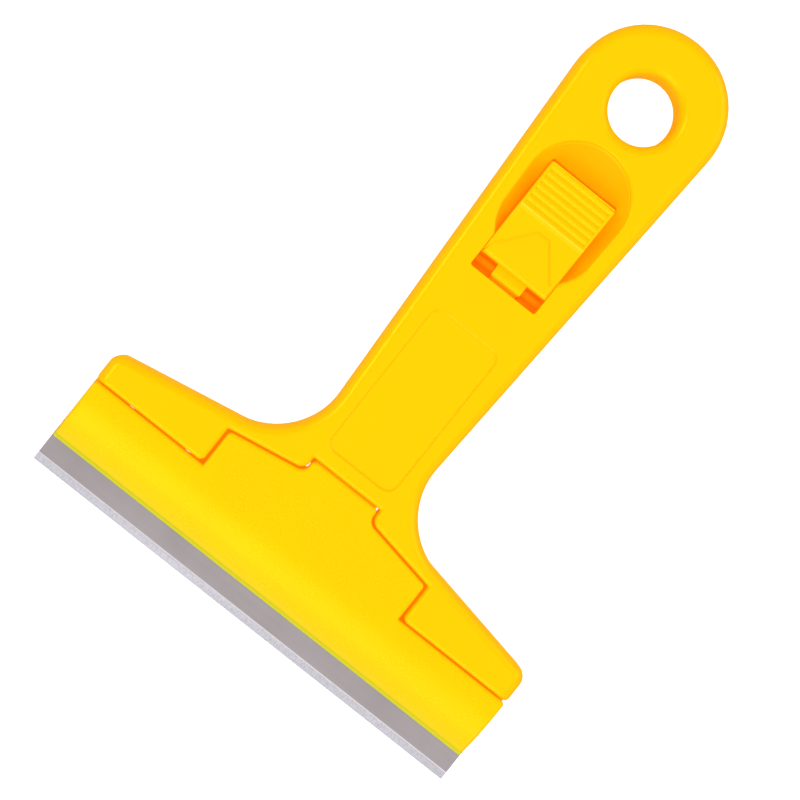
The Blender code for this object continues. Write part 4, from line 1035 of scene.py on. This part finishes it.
class Wire:
    # a socket in a material, so that shader maths reads as sums

    def __init__(self, tree, end=None):
        self.tree, self.end = tree, end

    def node(self, kind, settings, values, out=0):
        made = self.tree.nodes.new("ShaderNode" + kind)
        for name, setting in settings.items():
            setattr(made, name, setting)
        plug(made, values)
        return Wire(self.tree, made.outputs[out])

    def sum(self, how, first, second):
        return self.node("Math", {"operation": how}, {0: first, 1: second})

    def __add__(self, other):
        return self.sum("ADD", self, other)

    def __radd__(self, other):
        return self.sum("ADD", other, self)

    def __sub__(self, other):
        return self.sum("SUBTRACT", self, other)

    def __rsub__(self, other):
        return self.sum("SUBTRACT", other, self)

    def __mul__(self, other):
        return self.sum("MULTIPLY", self, other)

    def __rmul__(self, other):
        return self.sum("MULTIPLY", other, self)

    def into(self, low, high, first=0.0, second=1.0):
        # smooth ramp of a value, from low to high
        ends = {"From Min": low, "From Max": high, "To Min": first, "To Max": second}
        return self.node("MapRange", {"interpolation_type": "SMOOTHSTEP"}, {"Value": self, **ends})

    def band(self, start, first, last, stop):
        # 1 from first to last, and 0 before start and after stop
        return self.into(start, first) * self.into(stop, last)

    def mix(self, first, second):
        # colours, with this value as the share of the second
        return self.node("Mix", {"data_type": "RGBA"}, {0: self, 6: first, 7: second}, 2)

    def across(self):
        # how far a place is from the middle line
        return self.sum("ABSOLUTE", self.node("SeparateXYZ", {}, {"Vector": self}, "X"), 0)

    def level(self):
        return self.node("SeparateXYZ", {}, {"Vector": self}, "Y") - edgeY

    def height(self):
        return self.node("SeparateXYZ", {}, {"Vector": self}, "Z")

    def noise(self, scale, detail, stretch=(1, 1, 1)):
        spot = self.node("Mapping", {}, {"Vector": self, "Scale": stretch})
        return self.node("TexNoise", {}, {"Vector": spot, "Scale": scale, "Detail": detail})

    def bump(self, strength, distance):
        return self.node("Bump", {}, {"Strength": strength, "Distance": distance, "Height": self})


def plug(node, values):
    # a node's sockets, by name or number, from wires or plain values
    for name, value in values.items():
        if isinstance(value, Wire):
            value.tree.links.new(value.end, node.inputs[name])
        else:
            node.inputs[name].default_value = value


def newFinish(name):
    made = bpy.data.materials.new(name)
    made.use_nodes = True
    place = Wire(made.node_tree).node("TexCoord", {}, {}, "Object")
    return made, place, made.node_tree.nodes["Principled BSDF"]


plastic = {
    "yellow": (1.0, 0.610, 0.0, 1), "jawYellow": (1.0, 0.620, 0.0, 1), "deep": (1.0, 0.580, 0.0, 1),
    "handleRough": 0.23, "jawRough": 0.27, "tabRough": 0.19, "matt": 0.35, "wallMatt": 0.55,
    "grainScale": 2600, "flowScale": 45, "flowStretch": (1, 0.35, 1), "rubScale": 160,
    "bump": (0.12, 0.00002), "specular": 0.8, "sheen": (1.0, 0.90, 0.04, 1),
    "glow": (1.0, 0.19, 0.0, 1), "paintedGlowStrength": 0.36,   # painted glow: a constant orange emission on all the plastic, standing in for light that soaks through the walls and fills the gaps
    # painted shade: the two deeper oranges below are painted into the scoop and round the hinge pin
    "scoop": (1.0, 0.47, 0.0, 1), "scoopHalf": 0.0119, "scoopOver": 0.0003, "scoopUnder": 0.0005,
    "pocketShade": (1.0, 0.20, 0.0, 1), "pocketOver": 0.0015, "pocketUnder": 0.0010,
    "wallStart": 0.0010, "wallFull": 0.0020, "fade": 0.0001, "deepFade": 0.0003,
    # painted highlight: the paler colour and band for the tab pad's lower edge
    "rubbedAndHighlight": (1.0, 0.78, 0.07, 1), "highlightShare": 0.45, "highlightRise": 0.0012,
    "highlightBand": (-0.00020, -0.00008, 0.00012, 0.00026),
    # painted light: the greener lip colour, its weaker painted glow, and how far it reaches onto the jaw's
    # ends
    "lip": (0.50, 0.66, 0.02, 1), "lipPaintedGlow": (0.66, 0.19, 0.0, 1), "lipFull": 0.0003, "lipEnd": 0.0019,
    "sideStart": 0.0010, "sideFull": 0.0001, "sideShare": 0.3,
}


def mouldedPlastic(name, colour, rough, dress):
    # satin moulded plastic: eroded mould grain, faint flow shading and worn patches, with a painted glow
    # added all over
    made, place, shader = newFinish(name)
    grain = place.noise(plastic["grainScale"], 3)
    flow = place.noise(plastic["flowScale"], 2, plastic["flowStretch"])
    rubbedAndHighlight = place.noise(plastic["rubScale"], 4)
    shade = (flow - 0.5) * 0.9 + (rubbedAndHighlight - 0.5) * 0.35 + 0.35
    skin = shade.into(0.0, 1.0).mix(colour, plastic["deep"])
    gloss = rough + (rubbedAndHighlight - 0.5) * 0.10 + (grain - 0.5) * 0.06
    skin, gloss, glow = dress(place, skin, gloss, plastic["glow"])
    plug(shader, {
        "Base Color": skin, "Roughness": gloss, "Normal": (grain * 0.6 + rubbedAndHighlight * 0.5).bump(*plastic["bump"]),
        "Specular IOR Level": plastic["specular"], "Specular Tint": plastic["sheen"],
        "Emission Color": glow, "Emission Strength": plastic["paintedGlowStrength"],
    })
    return made


def dressHandle(place, skin, gloss, glow):
    # painted shade: the scoop and the hollow round the hinge pin get a deeper orange base colour, standing in
    # for the shade and the orange light bounced inside them; the scoop, walls and hole are also matt
    shell, front = frontShell, plan["front"]
    scoop = within(place, plastic["scoopHalf"], shell["scoopFoot"][1],
                   shell["scoopTop"] + plastic["scoopOver"], front - plastic["scoopUnder"])
    pocketShade = within(place, shell["windowHalf"], shell["windowLow"],
                    shell["hinge"][0] + plastic["pocketOver"], front - plastic["pocketUnder"])
    start, full = plastic["wallStart"], plastic["wallFull"]
    walls = place.height().band(start, full, front - full, front - start) * (1 - scoop)
    # painted shade in the scoop and round the hinge pin
    skin = pocketShade.mix(scoop.mix(skin, plastic["scoop"]), plastic["pocketShade"])
    return skin, gloss + scoop * plastic["matt"] + walls * plastic["wallMatt"], glow


def dressTab(place, skin, gloss, glow):
    # painted highlight: a paler band along the pad's lower edge, where its ramp would catch the light
    top = tab["padFoot"] + plastic["highlightRise"]
    rim = place.level().band(*(top + part for part in plastic["highlightBand"]))
    return (rim * plastic["highlightShare"]).mix(skin, plastic["rubbedAndHighlight"]), gloss, glow


def dressJaw(place, skin, gloss, glow):
    # painted light: the thin lip and the jaw's two ends are painted greener and paler, with a weaker painted
    # glow, standing in for the light and the blade's reflection seen on them; they are also matt
    low, half = plan["lipLevel"], jaw["half"]
    sides = place.across().into(half - plastic["sideStart"], half - plastic["sideFull"], 0.0,
                                plastic["sideShare"])
    lip = place.sum("MAXIMUM", place.level().into(low + plastic["lipEnd"], low + plastic["lipFull"]), sides)
    return lip.mix(skin, plastic["lip"]), gloss + lip * plastic["matt"], lip.mix(glow, plastic["lipPaintedGlow"])


def within(place, half, low, high, top):
    # 1 inside a box of the handle below its front face, with soft sides
    soft = plastic["fade"]
    ends = place.level().band(low - soft, low + soft, high - soft, high + soft)
    return place.across().into(half + soft, half - soft) * ends * place.height().into(
        top, top - plastic["deepFade"])


steels = {   # colour, roughness and the streaks' stretch
    "drawnSteel": ((0.62, 0.62, 0.64, 1), 0.28, (0.06, 1, 1)),
    "springSteel": ((0.56, 0.56, 0.58, 1), 0.30, (1, 1, 1)),
    # painted shade: the hinge pin's steel is painted dark, as it is seen only in shade through narrow gaps
    "shadeDarkSteel": ((0.26, 0.25, 0.24, 1), 0.45, (0.06, 1, 1)),
    "zincPlate": ((0.66, 0.67, 0.69, 1), 0.26, (1, 1, 0.2)),
}


def steelFinish(name):
    # drawn or plated steel: streaks along it and a little uneven gloss
    colour, rough, streak = steels[name]
    made, place, shader = newFinish(name)
    lines = place.noise(900, 3, streak)
    cloud = place.noise(300, 2)
    dark = tuple(part * 0.82 for part in colour[:3]) + (1,)
    plug(shader, {
        "Base Color": (lines * 0.6 + cloud * 0.4).into(0.25, 0.75).mix(dark, colour),
        "Roughness": rough + (lines - 0.5) * 0.2, "Normal": lines.bump(0.25, 0.00001), "Metallic": 1.0,
    })
    return made


bladeSteel = {
    "rolled": ((0.36, 0.318, 0.330, 1), (0.415, 0.37, 0.383, 1)),
    "ground": ((0.33, 0.32, 0.35, 1), (0.48, 0.465, 0.51, 1)), "groundFade": 0.00004,
    # painted highlight: a bright line on the flat just above the ground bevel
    "bevelHighlight": (0.74, 0.69, 0.70, 1), "borderFull": 0.00018, "borderEnd": 0.00026,
    "rough": 0.34, "bump": (0.3, 0.000012),
}


def bladeFinish():
    # rolled grey strip with a brighter ground bevel, its marks across the edge, and a painted highlight line
    # on the flat along the bevel's top
    made, place, shader = newFinish("bladeSteel")
    level, bevel, fade = place.level(), blade["bevel"], bladeSteel["groundFade"]
    ground = level.into(bevel + fade, bevel - fade)
    bevelHighlight = level.into(bevel + bladeSteel["borderEnd"], bevel + bladeSteel["borderFull"]) * (1 - ground)
    rolled = place.noise(700, 4, (0.05, 1, 1))
    cloud = place.noise(120, 3)
    marks = place.noise(6000, 3, (1, 0.05, 1))
    flat = (rolled * 0.45 + cloud * 0.55).into(0.25, 0.75).mix(*bladeSteel["rolled"])
    bright = marks.into(0.3, 0.7).mix(*bladeSteel["ground"])
    plug(shader, {
        "Base Color": bevelHighlight.mix(ground.mix(flat, bright), bladeSteel["bevelHighlight"]),
        "Roughness": bladeSteel["rough"] + (rolled - 0.5) * 0.2 + (marks - 0.5) * 0.15 * ground,
        "Normal": (rolled * (1 - ground) * 0.7 + marks * ground).bump(*bladeSteel["bump"]),
        "Metallic": 1.0,
    })
    return made


# Stage and light

studio = {
    "sky": 0.42, "bounces": 12, "floorSize": 6, "floorDrop": 0.00005,
    "paper": (0.86, 0.86, 0.86, 1), "fibre": (0.85, 0.85, 0.85, 1), "paperDark": (0.08, 0.08, 0.08, 1),
    "paperGlow": 0.86, "mirrorGlow": 0.06,
    "lamps": {   # place, size and power
        "top": ((0.30, -0.10, 1.3), 1.1, 2.6), "front": ((0.0, -0.80, 0.90), 0.6, 2.4),
        "left": ((-0.66, 0.0, 0.95), 0.45, 2.4), "low": ((0.0, -1.0, 0.35), 0.8, 2.0),
        "fill": ((0.62, 0.60, 0.62), 0.8, 2.6),
    },
}


def makeStage():
    deselectAll()
    bpy.ops.mesh.primitive_plane_add(size=studio["floorSize"], location=(0, 0, -studio["floorDrop"]))
    floor = bpy.context.object
    floor.name = "floor"
    paper, place, shader = newFinish("paper")
    mirrored, seen, through = (place.node("LightPath", {}, {}, "Is " + ray + " Ray")
                               for ray in ("Glossy", "Camera", "Transmission"))
    shine = (seen + through) * studio["paperGlow"] + mirrored * studio["mirrorGlow"]
    white = place.noise(900, 3).into(0.3, 0.7).mix(studio["fibre"], studio["paper"])
    plug(shader, {
        "Base Color": mirrored.mix(white, studio["paperDark"]), "Roughness": 0.9, "Specular IOR Level": 0.0,
        "Emission Color": place.node("CombineColor", {}, {0: shine, 1: shine, 2: shine}),
        "Emission Strength": 1.0,
    })
    floor.data.materials.append(paper)
    lightWorld()
    bpy.context.scene.cycles.diffuse_bounces = studio["bounces"]
    bpy.context.scene.cycles.max_bounces = studio["bounces"]
    for name, (place, size, power) in studio["lamps"].items():
        bpy.ops.object.light_add(type="AREA", location=place)
        lamp = bpy.context.object
        lamp.name = name + "Lamp"
        lamp.data.size = size
        lamp.data.energy = power
        lamp.rotation_euler = (-Vector(place)).to_track_quat("-Z", "Y").to_euler()


def lightWorld():
    world = bpy.data.worlds.new("studio")
    bpy.context.scene.world = world
    world.use_nodes = True
    seen = Wire(world.node_tree).node("LightPath", {}, {}, "Is Camera Ray")
    plug(world.node_tree.nodes["Background"], {"Strength": seen.into(0, 1, studio["sky"], 1.0),
                                               "Color": (1, 1, 1, 1)})


# Everything, in the order in which it is put together

def makeAll():
    handlePlastic = mouldedPlastic("handlePlastic", plastic["yellow"], plastic["handleRough"], dressHandle)
    jawPlastic = mouldedPlastic("jawPlastic", plastic["jawYellow"], plastic["jawRough"], dressJaw)
    tabPlastic = mouldedPlastic("tabPlastic", plastic["yellow"], plastic["tabRough"], dressTab)
    drawnSteel, springSteel, shadeDarkSteel, zincPlate = (steelFinish(name) for name in steels)
    makeFrontShell(handlePlastic)
    makeBackShell(handlePlastic)
    makeClampJaw(jawPlastic)
    makePressTab(tabPlastic)
    makeBlade(bladeFinish())
    makePin("pivotPin", "jaw_pivot_pin", pins["pivotRadius"], pins["pivotLength"],
            (0, *frontShell["pivot"]), drawnSteel)
    makePin("hingePin", "tab_hinge_pin", pins["hingeRadius"], pins["hingeLength"],
            (0, *frontShell["hinge"]), shadeDarkSteel)
    makeSpring(springSteel)
    for node, (x, level) in screw["places"].items():
        words = node.split("_")
        makeScrew(words[0] + "".join(word.capitalize() for word in words[1:]), node, x, level, zincPlate)


bpy.context.scene.view_settings.view_transform = "Standard"
makeCamera()
makeAll()
makeStage()
